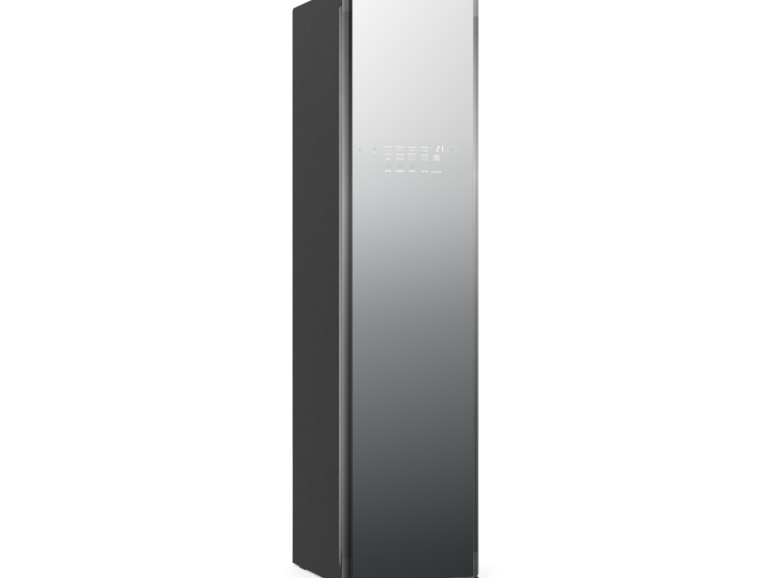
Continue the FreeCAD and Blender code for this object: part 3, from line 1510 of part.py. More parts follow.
# ------------------------------------------------------------------ trouser press
def press_base():
    """Fixed half of the press with hinge lugs and the clamp's bracket."""
    pad = box((-press_half, press_half), (plateau_y, press_base_y), (press_bottom, press_top))
    pad = rounded(pad, Y_AXIS, press_corner)
    lugs = []
    for low in (press_bottom - press_lug, press_top):
        lugs.append(box((press_half - press_corner * 2, press_pin_x + press_barrel_radius),
                        (plateau_y, press_pin_y + press_barrel_radius), (low, low + press_lug)))
    root = [box((press_half - press_corner * 2, press_half - press_corner), (plateau_y, press_base_y), z)
            for z in ((press_bottom - press_lug, press_bottom + press_corner),
                      (press_top - press_corner, press_top + press_lug))]
    bore = rod(V(press_pin_x, press_pin_y, press_bottom - 2 * press_lug),
               V(press_pin_x, press_pin_y, press_top + 2 * press_lug), press_pin_radius + run_gap)
    x = clamp_width / 2
    stem = box((-x / 2, x / 2), (plateau_y, plateau_y + clamp_thickness),
               (press_top - overcut, clamp_z + clamp_lug))
    plate = box((-x, x), (plateau_y, plateau_y + clamp_thickness),
                (clamp_z - clamp_height, clamp_z + clamp_lug))
    ears = [box((side * (x + clamp_lug / 2) - clamp_lug / 2, side * (x + clamp_lug / 2) + clamp_lug / 2),
                (plateau_y, clamp_pin_y() + clamp_lug), (clamp_z - clamp_lug, clamp_z + clamp_lug))
            for side in (-1, 1)]
    clamp_bore = rod(V(-width, clamp_pin_y(), clamp_z), V(width, clamp_pin_y(), clamp_z),
                     clamp_pin_radius + run_gap)
    return cut(fuse([pad, stem, plate] + lugs + root + ears), [bore, clamp_bore])


def clamp_pin_y():
    """How far in the clamp's pin lies."""
    return plateau_y + 2 * clamp_thickness + clamp_pin_radius


def press_plate():
    """Swinging half of the press: ribbed plate, hinge barrel and its two pins."""
    z = (press_bottom + seat_gap, press_top - seat_gap)
    plate = box((-press_half, press_pin_x - press_barrel_radius / 2), (press_plate_y, press_plate_back), z)
    plate = rounded(plate, Y_AXIS, press_corner, lambda p: p.x < 0)
    ribs = []
    for x in spread(press_rib_count, -press_half + press_corner * 2, press_half - press_corner * 2):
        ribs.append(box((x - press_rib_depth, x + press_rib_depth),
                        (press_plate_back - press_rib_depth, press_plate_back + overcut),
                        (z[0] + press_corner * 2, z[1] - press_corner * 2)))
    centre = V(press_pin_x, press_pin_y, 0)
    barrel = rod(centre + V(0, 0, z[0]), centre + V(0, 0, z[1]), press_barrel_radius)
    web = box((press_pin_x - press_barrel_radius / 2, press_pin_x + press_barrel_radius / 2),
              (press_pin_y, press_plate_back), z)
    web = rounded(web, Z_AXIS, press_barrel_radius / 2,
                  lambda p: p.x > press_pin_x and p.y > press_pin_y + overcut)
    pins = [rod(centre + V(0, 0, z[0] - press_pin_length), centre + V(0, 0, z[0]), press_pin_radius),
            rod(centre + V(0, 0, z[1]), centre + V(0, 0, z[1] + press_pin_length), press_pin_radius)]
    return fuse([cut(plate, ribs), barrel, web] + pins)


def trouser_clamp():
    """Sprung jaw that holds a waistband against the bracket."""
    x = clamp_width / 2 - seat_gap
    centre = V(0, clamp_pin_y(), clamp_z)
    barrel = rod(centre - V(x, 0, 0), centre + V(x, 0, 0), clamp_lug - overcut)
    pins = rod(centre - V(x + clamp_lug, 0, 0), centre + V(x + clamp_lug, 0, 0), clamp_pin_radius)
    jaw_y = plateau_y + clamp_thickness + clamp_jaw_gap
    jaw = box((-x, x), (jaw_y, jaw_y + clamp_thickness), (clamp_z - clamp_height, clamp_z))
    tab = box((-x / 2, x / 2), (clamp_pin_y(), clamp_pin_y() + clamp_thickness),
              (clamp_z, clamp_z + clamp_height / 2))
    return fuse([barrel, pins, rounded(jaw, Y_AXIS, clamp_thickness, lambda p: p.z < clamp_z - clamp_lug),
                 rounded(tab, Y_AXIS, clamp_thickness, lambda p: p.z > clamp_z + clamp_lug)])


# ------------------------------------------------------------------ write one file for each piece
def write(name, shape):
    """Save one sub-part; a list of solids becomes one group."""
    if isinstance(shape, list):
        shape = Part.makeCompound(shape)
    shape.exportStep(os.path.join("parts", name + ".step"))


def sub_parts():
    """Every sub-part by name."""
    pieces = {
        "left_side_panel": left_side_panel(),
        "right_side_panel": right_side_panel(),
        "top_panel": top_panel(),
        "rear_panel": rear_panel(),
        "service_cover": service_cover(),
        "base_frame": base_frame(),
        "front_frame": front_frame(),
        "kick_plate": kick_plate(),
        "cabin_liner": cabin_liner(),
        "shelf_ledges": shelf_ledges(),
        "ceiling_cover": ceiling_cover(),
        "cabin_lamp": cabin_lamp(),
        "insulation": insulation(),
        "tank_bay": tank_bay(),
        "hinge_brackets": hinge_brackets(),
        "hinge_bushes": hinge_bushes(),
        "hinge_cover": hinge_cover(),
        "left_front_foot": front_foot(-1),
        "right_front_foot": front_foot(1),
        "rear_feet": rear_feet(),
        "cord_gland": cord_gland(),
        "floor_grille": floor_grille(),
        "lint_filter": lint_filter(),
        "scent_cassette": scent_cassette(),
        "steam_nozzle": steam_nozzle(),
        "shelf": shelf(),
        "hanger_bar": hanger_bar(),
        "drive_bracket": drive_bracket(),
        "crank": crank(),
        "gear_motor": gear_motor(),
        "machine_deck": machine_deck(),
        "evaporator": coil(evaporator_y),
        "condenser": coil(condenser_y),
        "blower_housing": blower_housing(),
        "blower_wheel": blower_wheel(),
        "blower_motor": blower_motor(),
        "compressor": compressor(),
        "refrigerant_pipes": refrigerant_pipes(),
        "steam_generator": steam_generator(),
        "water_pumps": water_pumps(),
        "water_hoses": water_hoses(),
        "control_box": control_box(),
        "supply_tank": tank(-1),
        "drain_tank": tank(1),
        "door_glass": door_glass(),
        "left_door_frame": left_door_frame(),
        "right_door_frame": right_door_frame(),
        "top_door_cap": top_door_cap(),
        "bottom_door_cap": bottom_door_cap(),
        "door_foam": door_foam(),
        "display_module": display_module(),
        "door_gasket": door_gasket(),
        "door_back_panel": door_back_panel(),
        "grip_rail": grip_rail(),
        "press_base": press_base(),
        "press_plate": press_plate(),
        "trouser_clamp": trouser_clamp(),
    }
    for index, x in enumerate(hanger_places()):
        pieces["hanger_" + str(index + 1)] = hanger(x)
    return pieces


os.makedirs("parts", exist_ok=True)
for name, shape in sub_parts().items():
    write(name, shape)
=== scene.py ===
"""Looks for the clothes care steam cabinet: materials, small fittings, studio and camera."""
import json
import math

import bmesh
import bpy
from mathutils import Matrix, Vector


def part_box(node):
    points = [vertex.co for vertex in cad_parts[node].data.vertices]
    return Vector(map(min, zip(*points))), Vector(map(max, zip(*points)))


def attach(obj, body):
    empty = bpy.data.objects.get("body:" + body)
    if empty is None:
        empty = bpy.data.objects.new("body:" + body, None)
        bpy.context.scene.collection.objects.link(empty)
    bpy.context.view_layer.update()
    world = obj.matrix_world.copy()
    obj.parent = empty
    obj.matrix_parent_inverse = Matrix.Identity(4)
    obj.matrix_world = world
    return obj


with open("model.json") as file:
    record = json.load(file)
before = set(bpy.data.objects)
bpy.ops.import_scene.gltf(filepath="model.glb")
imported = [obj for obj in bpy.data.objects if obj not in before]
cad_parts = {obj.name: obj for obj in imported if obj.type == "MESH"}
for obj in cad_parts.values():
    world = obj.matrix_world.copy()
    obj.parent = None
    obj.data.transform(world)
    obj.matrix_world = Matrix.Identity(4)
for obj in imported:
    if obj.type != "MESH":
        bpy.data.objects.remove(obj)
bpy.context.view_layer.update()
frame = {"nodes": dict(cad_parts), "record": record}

MM = 0.001
UP = (0, 0, 1)
TO_FRONT = (0, -1, 0)
TO_REAR = (0, 1, 0)
glass_low, glass_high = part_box("door_glass")
case_side = -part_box("left_side_panel")[0].x
rail_low, rail_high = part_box("grip_rail")


# ------------------------------------------------------------------ colour and nodes
# The Mix node repeats its sockets' names for each kind of data; these are its colour sockets.
MIX_FIRST = 6
MIX_SECOND = 7
MIX_RESULT = 2
# Most of what a noise gives lies between these two values.
NOISE_LOW = 0.3
NOISE_HIGH = 0.7


def linear(level):
    """One sRGB level from 0 to 255 as linear light."""
    share = level / 255
    return share / 12.92 if share <= 0.04045 else ((share + 0.055) / 1.055) ** 2.4


def paint(red, green, blue):
    """An sRGB colour from 0 to 255 as a linear RGBA."""
    return (linear(red), linear(green), linear(blue), 1.0)


def grey(level):
    """An even grey, given in linear light."""
    return (level, level, level, 1.0)


def greys(stops):
    """Colour stops from (place, level) pairs."""
    return [(place, grey(level)) for place, level in stops]


class Finish:
    """One material with its node tree."""

    def __init__(self, name, colour, rough, metal=0.0, **shader):
        self.material = bpy.data.materials.new(name)
        self.material.use_nodes = True
        self.tree = self.material.node_tree
        self.shader = self.tree.nodes["Principled BSDF"]
        self.shader.inputs["Base Color"].default_value = colour
        self.shader.inputs["Roughness"].default_value = rough
        self.shader.inputs["Metallic"].default_value = metal
        for key, value in shader.items():
            self.shader.inputs[key.replace("_", " ")].default_value = value
        self.colour = colour
        self.rough = rough
        self.height = None
        coordinates = self.tree.nodes.new("ShaderNodeTexCoord")
        self.place = coordinates.outputs["Object"]
        self.normal = coordinates.outputs["Normal"]

    def node(self, kind, *inputs, **settings):
        """A new node with its settings, and its inputs linked or set in order."""
        made = self.tree.nodes.new("ShaderNode" + kind)
        for key, value in settings.items():
            setattr(made, key, value)
        for socket, value in zip(made.inputs, inputs):
            self.feed(socket, value)
        return made

    def feed(self, socket, value):
        """Link a socket, or set its value."""
        if isinstance(value, bpy.types.NodeSocket):
            self.tree.links.new(value, socket)
        else:
            socket.default_value = value

    def maths(self, operation, *inputs):
        """The result of one sum."""
        return self.node("Math", *inputs, operation=operation).outputs[0]

    def axis(self, name, source=None):
        """One coordinate of the object's own frame, in metres."""
        split = self.node("SeparateXYZ", source or self.place)
        return split.outputs[name]

    def stretched(self, stretch):
        """Object coordinates, scaled on each axis."""
        mapping = self.node("Mapping", self.place)
        mapping.inputs["Scale"].default_value = stretch
        return mapping.outputs[0]

    def noise(self, scale, detail=2.0, stretch=(1, 1, 1)):
        """Noise from 0 to 1."""
        made = self.node("TexNoise", self.stretched(stretch))
        made.inputs["Scale"].default_value = scale
        made.inputs["Detail"].default_value = detail
        return made.outputs[0]

    def cells(self, scale, output="Distance"):
        """Voronoi cells."""
        made = self.node("TexVoronoi", self.place)
        made.inputs["Scale"].default_value = scale
        return made.outputs[output]

    def spread(self, value, low, high, to_low=0.0, to_high=1.0):
        """A value from one span mapped to another, and held at its ends."""
        return self.node("MapRange", value, low, high, to_low, to_high).outputs[0]

    def varied(self, middle, amount, scale, detail, stretch):
        """A value that noise moves up and down by an amount."""
        noise = self.noise(scale, detail, stretch)
        return self.spread(noise, NOISE_LOW, NOISE_HIGH, middle - amount, middle + amount)

    def ramp(self, value, stops):
        """A colour for each place from 0 to 1."""
        made = self.node("ValToRGB", value)
        elements = made.color_ramp.elements
        while len(elements) < len(stops):
            elements.new(0.5)
        for element, (place, colour) in zip(elements, stops):
            element.position = place
            element.color = colour
        return made.outputs[0]

    def blend(self, share, first, second, kind="MIX"):
        """Two colours mixed by a share."""
        made = self.node("Mix", data_type="RGBA", blend_type=kind)
        self.feed(made.inputs["Factor"], share)
        self.feed(made.inputs[MIX_FIRST], first)
        self.feed(made.inputs[MIX_SECOND], second)
        return made.outputs[MIX_RESULT]

    def times(self, first, second):
        """Two colours multiplied."""
        return self.blend(1.0, first, second, "MULTIPLY")

    def dimmed(self, colour, level):
        """A colour multiplied by one value."""
        return self.times(colour, self.node("CombineColor", level, level, level).outputs[0])

    def base_colour(self):
        """What gives the base colour now."""
        links = self.shader.inputs["Base Color"].links
        return links[0].from_socket if links else self.colour

    def recolour(self, colour):
        """Give the base colour."""
        self.feed(self.shader.inputs["Base Color"], colour)

    def mottle(self, scale, amount, detail=3.0, stretch=(1, 1, 1)):
        """Vary the base colour a little by noise."""
        self.recolour(self.dimmed(self.base_colour(), self.varied(1, amount, scale, detail, stretch)))

    def polish(self, scale, amount, detail=3.0, stretch=(1, 1, 1)):
        """Vary the roughness a little by noise."""
        rough = self.varied(self.rough, amount, scale, detail, stretch)
        self.feed(self.shader.inputs["Roughness"], rough)

    def relief(self, value, depth, strength=1.0):
        """Raise the surface by a value; further calls add to the first."""
        bump = self.node("Bump")
        bump.inputs["Strength"].default_value = strength
        bump.inputs["Distance"].default_value = depth
        self.feed(bump.inputs["Height"], value)
        if self.height is not None:
            self.feed(bump.inputs["Normal"], self.height)
        self.height = bump.outputs[0]
        self.feed(self.shader.inputs["Normal"], self.height)


# ------------------------------------------------------------------ plain materials
def enamel(name, colour, rough=0.42):
    """Satin powder coat with a fine orange peel."""
    made = Finish(name, colour, rough)
    made.mottle(scale=6, amount=0.06)
    made.polish(scale=35, amount=0.05)
    made.relief(made.noise(1400), depth=0.00006, strength=0.5)
    return made


def moulding(name, colour, rough=0.5, grain=900):
    """Moulded plastic with a fine grain."""
    made = Finish(name, colour, rough)
    made.mottle(scale=9, amount=0.015)
    made.polish(scale=60, amount=0.04)
    made.relief(made.cells(grain), depth=0.00005, strength=0.6)
    return made


def brushed(name, colour, rough, stretch):
    """Metal brushed along one axis, which has the smallest stretch."""
    made = Finish(name, colour, rough, metal=1.0)
    made.mottle(scale=60, amount=0.07, detail=4.0, stretch=stretch)
    made.polish(scale=90, amount=0.07, detail=4.0, stretch=stretch)
    made.relief(made.noise(160, 3.0, stretch), depth=0.00002, strength=0.35)
    return made


def zinc():
    """Zinc coated sheet with soft spangles."""
    made = Finish("zinc_sheet", paint(150, 153, 156), rough=0.42, metal=0.85)
    spangle = made.node("SeparateColor", made.cells(170, "Color")).outputs[0]
    made.recolour(made.dimmed(made.colour, made.spread(spangle, 0, 1, 0.95, 1.04)))
    made.polish(scale=60, amount=0.03)
    made.relief(made.noise(500), depth=0.00003, strength=0.3)
    return made


def clear_tank():
    """Smoke tinted translucent tank wall."""
    made = Finish("tank_plastic", paint(120, 130, 138), rough=0.22, Transmission_Weight=0.25)
    made.mottle(scale=12, amount=0.05)
    made.polish(scale=50, amount=0.05)
    made.relief(made.noise(300), depth=0.00005, strength=0.3)
    return made


def foam():
    """Foamed insulation."""
    made = Finish("foam", paint(214, 202, 168), rough=0.85)
    made.mottle(scale=30, amount=0.12)
    made.relief(made.cells(500), depth=0.0003, strength=0.8)
    return made


def felt():
    """Grey felt with short fibres."""
    made = Finish("felt", paint(120, 122, 126), rough=0.95, Specular_IOR_Level=0.1)
    made.mottle(scale=140, amount=0.16, detail=4.0)
    made.relief(made.noise(900, 4.0, (1, 1, 0.4)), depth=0.0002, strength=0.7)
    return made


# ------------------------------------------------------------------ materials with painted reflection and shade over the door
LINES_UPWARDS = (1, 1, 0.02)  # noise drawn out into lines along Z

# Heights above the floor in metres, with sRGB levels of the glass's painted reflection at its left edge.
GLASS_REFLECTION_LEVELS = [(0.03, (54, 58, 58)), (0.14, (62, 66, 67)), (0.43, (94, 98, 99)), (0.73, (128, 132, 133)),
                (0.87, (148, 150, 152)), (1.02, (174, 176, 178)), (1.17, (199, 201, 203)),
                (1.3, (214, 216, 216)), (1.46, (230, 230, 230)), (1.84, (247, 247, 247))]
GLASS_RIGHT_REFLECTION = 0.82       # the painted reflection there, as a share of that at the left edge
BEVEL_HIGHLIGHT = 1.2             # the bevel's painted highlight, as a share of the glass's colour
BEVEL_TILT = (0.3, 0.6)       # how far the surface faces sideways where the bevel's painted highlight starts and is full

# Shares of the side profiles' painted reflection, with a painted highlight at the outer edge, from the glass
# at 0 to the door's side at 1.
OUTER_EDGE_HIGHLIGHT = [(0.82, 0.76), (0.94, 1.0), (1.0, 1.6)]
LEFT_REFLECTION_ACROSS = greys([(0.0, 0.38), (0.26, 0.155), (0.5, 0.27)] + OUTER_EDGE_HIGHLIGHT)
LEFT_REFLECTION_ACROSS_HIGH = greys([(0.0, 0.38), (0.22, 0.085), (0.36, 0.07), (0.46, 0.125), (0.56, 0.25),
                           (0.7, 0.5)] + OUTER_EDGE_HIGHLIGHT)
LEFT_REFLECTION_ACROSS_CHANGE = (1.2, 1.66)  # the heights between which the one painted reflection gives way to the other
RIGHT_REFLECTION_ACROSS = greys([(0.0, 1.7), (0.08, 1.0), (0.14, 0.52), (0.25, 0.45), (0.4, 0.45), (0.5, 0.61),
                       (0.7, 0.92), (0.85, 1.3), (1.0, 1.7)])

# Heights above the floor in metres, with the painted reflection on the side profiles and end caps.
LEFT_BAND_REFLECTION = greys([(0.10, 0.08), (0.45, 0.155), (0.78, 0.21), (1.19, 0.39), (1.75, 0.17)])
RIGHT_BAND_REFLECTION = greys([(0.12, 0.072), (0.5, 0.134), (0.85, 0.269), (1.27, 0.563), (1.72, 0.23)])
LEFT_CAP_REFLECTION = [(0.033, paint(88, 88, 89)), (0.115, paint(90, 90, 91)), (1.75, paint(128, 128, 128)),
            (1.84, paint(131, 131, 131))]
RIGHT_CAP_REFLECTION = greys([(0.033, 0.116), (0.115, 0.125), (1.75, 0.323), (1.84, 0.363)])
SHADE_BESIDE_GLASS = grey(0.12)     # painted shade on the profile where it runs beside and behind the glass
GLASS_OVERLAP = 0.012         # how far in from the glass's edge that painted shade is reached
SIDES_APART = 0.01            # the left painted reflection gives way to the right one within this of the middle

# Heights of the grip rail in metres with the sRGB levels of its painted reflection, and shares of them from
# front to rear, darkest for painted shade in the groove behind the door.
RAIL_REFLECTION_LEVELS = [(0.07, 74), (0.096, 88), (0.133, 116), (0.4, 152), (0.9, 162), (1.5, 150), (1.64, 136),
               (1.78, 102)]
RAIL_GROOVE_SHADE = greys([(0.0, 0.95), (0.42, 0.95), (0.52, 0.14), (0.7, 0.14), (0.8, 1.1)])


def tone_by_height(made, stops):
    """A colour by height above the floor, from (metres, colour) stops."""
    low, high = stops[0][0], stops[-1][0]
    place = made.spread(made.axis("Z"), low, high)
    return made.ramp(place, [((z - low) / (high - low), colour) for z, colour in stops])


def curved(knots):
    """Colour stops along a Catmull-Rom curve through (metres, levels) knots."""
    points = [Vector((place, *levels)) for place, levels in knots]
    points = [2 * points[0] - points[1]] + points + [2 * points[-1] - points[-2]]
    made = []
    for a, b, c, d in zip(points, points[1:], points[2:], points[3:]):
        for t in (0, 1 / 3, 2 / 3):
            spot = b + (c - a) * t / 2 + (a - 2.5 * b + 2 * c - d / 2) * t ** 2
            spot += (3 * b - a - 3 * c + d) * t ** 3 / 2
            made.append((spot[0], paint(*spot[1:])))
    return made + [(points[-2][0], paint(*points[-2][1:]))]


def mirror_glass():
    """Tinted mirror with a painted reflection, pale at the top and dark at the foot, and a painted highlight
    on its polished bevel.
    """
    made = Finish("mirror_glass", paint(150, 155, 155), rough=0.06, metal=1.0)
    # painted reflection: pale at the top, dark at the foot, and darker towards the right edge
    across = made.spread(made.axis("X"), glass_low.x, glass_high.x, 1.0, GLASS_RIGHT_REFLECTION)
    painted_reflection = made.dimmed(tone_by_height(made, curved(GLASS_REFLECTION_LEVELS)), across)
    # painted highlight on the bevel, where the surface faces sideways
    bevel = made.spread(made.maths("ABSOLUTE", made.axis("X", made.normal)), *BEVEL_TILT)
    made.recolour(made.blend(bevel, painted_reflection, made.times(painted_reflection, grey(BEVEL_HIGHLIGHT))))
    made.polish(scale=5, amount=0.015)
    return made


def drawn_lines(made):
    """Fine upright lines, as drawn metal has."""
    made.mottle(scale=60, amount=0.05, detail=4.0, stretch=LINES_UPWARDS)
    made.relief(made.noise(400, 3.0, LINES_UPWARDS), depth=0.00001, strength=0.3)


def painted_band_metal(name, left_stops, right_stops):
    """Satin side profile with a painted reflection: the left one has a painted highlight along its outer side
    and painted shade beside the glass.
    """
    made = Finish(name, paint(120, 120, 120), rough=0.3, metal=1.0)
    from_middle = made.maths("ABSOLUTE", made.axis("X"))
    outwards = made.spread(from_middle, glass_high.x, case_side)
    # painted reflection across the profile, changing with height
    low = made.ramp(outwards, LEFT_REFLECTION_ACROSS)
    high = made.ramp(outwards, LEFT_REFLECTION_ACROSS_HIGH)
    shape = made.blend(made.spread(made.axis("Z"), *LEFT_REFLECTION_ACROSS_CHANGE), low, high)
    left = made.times(tone_by_height(made, left_stops), shape)
    right = made.times(tone_by_height(made, right_stops), made.ramp(outwards, RIGHT_REFLECTION_ACROSS))
    ends = made.blend(made.spread(made.axis("X"), -SIDES_APART, SIDES_APART), left, right)
    # painted shade beside and behind the glass's edge
    beside = made.spread(from_middle, glass_high.x - GLASS_OVERLAP, glass_high.x)
    made.recolour(made.blend(beside, SHADE_BESIDE_GLASS, ends))
    made.polish(scale=90, amount=0.05, detail=4.0, stretch=LINES_UPWARDS)
    drawn_lines(made)
    return made


def grip_metal():
    """Anodised grip rail with a painted reflection by height and painted shade in the groove behind the door.
    """
    made = Finish("grip_metal", paint(150, 150, 150), rough=0.34, metal=1.0)
    # painted reflection by height
    height = tone_by_height(made, [(z, paint(level, level, level)) for z, level in RAIL_REFLECTION_LEVELS])
    inwards = made.spread(made.axis("Y"), rail_low.y, rail_high.y)
    # painted shade in the groove behind the door
    made.recolour(made.times(height, made.ramp(inwards, RAIL_GROOVE_SHADE)))
    drawn_lines(made)
    return made


def case_paint():
    """Charcoal case enamel with painted light: a little lighter towards the top."""
    made = Finish("case_paint", paint(48, 48, 47), rough=0.42, Specular_IOR_Level=0.02)
    # painted light: lighter towards the top
    stops = [(0.0, paint(34, 34, 34)), (0.9, paint(37, 37, 36)), (1.85, paint(48, 48, 47))]
    made.recolour(tone_by_height(made, stops))
    made.mottle(scale=6, amount=0.01)
    made.polish(scale=35, amount=0.02)
    made.relief(made.noise(1400), depth=0.00006, strength=0.5)
    return made


# ------------------------------------------------------------------ every material
MARK_LEVELS = {"mark_bright": 250, "mark_light": 226, "mark_pale": 214, "mark_dark": 186}

finishes = {
    "case_paint": case_paint(),
    "zinc_sheet": zinc(),
    "dark_moulding": moulding("dark_moulding", paint(30, 30, 31)),
    "frame_moulding": moulding("frame_moulding", paint(100, 100, 99)),
    "liner_moulding": moulding("liner_moulding", paint(205, 207, 208), 0.38),
    "lamp_lens": moulding("lamp_lens", paint(232, 233, 233), 0.3, 300),
    "foam": foam(),
    "bay_moulding": moulding("bay_moulding", paint(118, 120, 123), 0.45),
    "coil_metal": brushed("coil_metal", paint(190, 191, 192), 0.35, (1, 0.05, 1)),
    "motor_black": enamel("motor_black", paint(24, 24, 25), 0.3),
    "hinge_enamel": enamel("hinge_enamel", paint(34, 34, 35)),
    "copper": brushed("copper", paint(196, 124, 92), 0.3, (0.3, 0.3, 0.3)),
    "boiler_steel": brushed("boiler_steel", paint(176, 177, 178), 0.28, (1, 1, 0.03)),
    "pump_plastic": moulding("pump_plastic", paint(70, 72, 76)),
    "hose_rubber": moulding("hose_rubber", paint(44, 44, 45), 0.6),
    "mirror_glass": mirror_glass(),
    "profile_metal": painted_band_metal("profile_metal", LEFT_BAND_REFLECTION, RIGHT_BAND_REFLECTION),
    "grip_metal": grip_metal(),
    "cap_moulding": painted_band_metal("cap_moulding", LEFT_CAP_REFLECTION, RIGHT_CAP_REFLECTION),
    "display_board": moulding("display_board", paint(20, 60, 40), 0.4),
    "gasket_rubber": moulding("gasket_rubber", paint(58, 58, 59), 0.65, 600),
    "press_moulding": moulding("press_moulding", paint(186, 188, 190), 0.45),
    "clamp_plastic": moulding("clamp_plastic", paint(60, 60, 62), 0.45),
    "tank_plastic": clear_tank(),
    "bar_steel": brushed("bar_steel", paint(186, 186, 187), 0.25, (0.02, 1, 1)),
    "screw_steel": brushed("screw_steel", paint(150, 151, 152), 0.35, (1, 1, 1)),
    "bush_brass": brushed("bush_brass", paint(86, 74, 58), 0.4, (1, 1, 0.1)),
    "filter_cloth": moulding("filter_cloth", paint(66, 68, 70), 0.7, 1500),
    "felt": felt(),
}
for name, level in MARK_LEVELS.items():
    finishes[name] = moulding(name, paint(level, level, level), grain=4000)


def dress_nodes():
    """Give each CAD node the finish of its slot, apart from two that have a finish of their own."""
    chosen = {row["node"]: row["material_slot"] for row in frame["record"]["subparts"]}
    chosen["front_frame"] = "frame_moulding"
    chosen["hinge_brackets"] = "hinge_enamel"
    for name, thing in frame["nodes"].items():
        thing.data.materials.clear()
        thing.data.materials.append(finishes[chosen[name]].material)


dress_nodes()


# ------------------------------------------------------------------ shapes
SMOOTH_BELOW = math.radians(35)
CROSS_REACH = 0.56            # a screw's cross recess, as a share of the head's radius


class Form:
    """One piece's mesh, built up from closed shells."""

    def __init__(self):
        self.mesh = bmesh.new()

    def block(self, low, high, soften=0.0):
        """A box between two corners, its edges softened."""
        low = Vector(low)
        high = Vector(high)
        corners = bmesh.ops.create_cube(self.mesh, size=1.0)["verts"]
        for corner in corners:
            corner.co = (low + high) / 2 + Vector([a * (c - b) for a, b, c in zip(corner.co, low, high)])
        if soften:
            edges = list(dict.fromkeys(edge for corner in corners for edge in corner.link_edges))
            bmesh.ops.bevel(self.mesh, geom=edges, offset=soften, segments=2, profile=0.5, affect="EDGES")

    def shell(self, rings, closed=False):
        """Skin over rings of points; its ends are capped, or joined to each other."""
        made = [[self.mesh.verts.new(point) for point in ring] for ring in rings]
        pairs = list(zip(made, made[1:]))
        if closed:
            pairs.append((made[-1], made[0]))
        for first, second in pairs:
            for k, corner in enumerate(first):
                after = (k + 1) % len(first)
                self.mesh.faces.new((corner, first[after], second[after], second[k]))
        if not closed:
            self.mesh.faces.new(made[0][::-1])
            self.mesh.faces.new(made[-1])

    def turned(self, place, direction, outline, sides=24, closed=False):
        """A round shell; its outline holds (distance along, radius) pairs."""
        turn = Vector(direction).to_track_quat("Z", "Y")
        angles = [2 * math.pi * k / sides for k in range(sides)]
        rings = []
        for along, radius in outline:
            points = [Vector((radius * math.cos(a), radius * math.sin(a), along)) for a in angles]
            rings.append([Vector(place) + turn @ point for point in points])
        self.shell(rings, closed)

    def screw(self, place, direction, radius, rise):
        """Pan head with a cross recess, sunk a little into its seat."""
        turn = Vector(direction).to_track_quat("Z", "Y")
        arm = radius * CROSS_REACH
        half = arm * math.tan(math.pi / 12)
        middle = (arm + half) / 2
        quarter = [(arm, 0), (arm, half), (middle, half), (half, half), (half, middle), (half, arm)]
        turns = [Vector((x, y)) for x, y in ((1, 0), (0, 1), (-1, 0), (0, -1))]
        cross = [Vector((x * t.x - y * t.y, x * t.y + y * t.x, 0)) for t in turns for x, y in quarter]
        angles = [2 * math.pi * k / len(cross) for k in range(len(cross))]
        circle = [Vector((radius * math.cos(a), radius * math.sin(a), 0)) for a in angles]
        # each ring's outline, its scale, and its height as a share of the rise
        levels = [(circle, 1, -0.2), (circle, 1, 0.4), (circle, 0.93, 0.75), (circle, 0.74, 1.0),
                  (cross, 1, 1.0), (cross, 1, 0.3)]
        rings = [[point * share + Vector((0, 0, rise * level)) for point in outline]
                 for outline, share, level in levels]
        self.shell([[Vector(place) + turn @ point for point in ring] for ring in rings])

    def put(self, name, finish, body):
        """Finish the mesh as one piece that rides on a body."""
        bmesh.ops.recalc_face_normals(self.mesh, faces=self.mesh.faces)
        data = bpy.data.meshes.new(name)
        self.mesh.to_mesh(data)
        self.mesh.free()
        data.shade_smooth()
        data.set_sharp_from_angle(angle=SMOOTH_BELOW)
        data.materials.append(finishes[finish].material)
        made = bpy.data.objects.new(name, data)
        bpy.context.scene.collection.objects.link(made)
        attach(made, body)


def mm(*values):
    """A place given in millimetres."""
    return Vector([value * MM for value in values])


def outline_mm(*pairs):
    """An outline given in millimetres."""
    return [(along * MM, radius * MM) for along, radius in pairs]


# ------------------------------------------------------------------ touch panel marks
# Places are in millimetres, sideways from the door's middle and upwards from the floor.
MARK_FRONT = glass_low.y - 0.1 * MM
MARK_BACK = glass_low.y + 0.02 * MM
MARK_GAP = 1.6                # between the bars of a row
FIRST, SECOND, THIRD, FOURTH = -82.7, -43.9, -4.9, 36.0  # the columns that most rows stand in
LAMP_ICON = (-172.7, 1342.0)
DIAL_ICON = (-124.6, 1343.0)
KEY_ICON = (126.0, 1346.5)
POWER_BUTTON = (-80.0, 1295.0)
MENU_BUTTON = (-42.0, 1295.0)
START_BUTTON = (-2.0, 1295.0)
HAIRLINE = 1.2

# Rows of bars in the place of words: middle, width, height above the floor, height of the bars, and the
# bars' shares of the width.
LIGHT_ROWS = [
    (FIRST, 28.0, 1352.5, 3.6, (0.6, 0.4)),
    (SECOND, 28.0, 1352.5, 3.6, (0.45, 0.55)),
    (THIRD, 28.0, 1352.5, 3.6, (1.0,)),
    (FOURTH, 28.0, 1352.5, 3.6, (0.35, 0.65)),
    (FIRST, 20.0, 1329.5, 3.2, (0.5, 0.5)),
    (SECOND, 26.0, 1329.5, 4.0, (0.3, 0.4, 0.3)),
    (THIRD, 24.0, 1332.0, 4.2, (0.6, 0.4)),
    (FOURTH, 23.0, 1330.0, 3.6, (0.4, 0.6)),
    (THIRD, 13.0, 1343.0, 4.2, (1.0,)),
    (38.0, 16.0, 1342.0, 4.4, (0.5, 0.5)),
    (FIRST, 13.0, 1315.0, 4.2, (0.5, 0.5)),
    (FIRST, 19.0, 1278.5, 4.6, (0.55, 0.45)),
    (SECOND, 27.0, 1279.0, 5.4, (0.3, 0.35, 0.35)),
    (THIRD, 21.0, 1279.0, 4.6, (0.5, 0.5)),
    (FOURTH, 21.0, 1279.0, 4.2, (0.6, 0.4)),
]
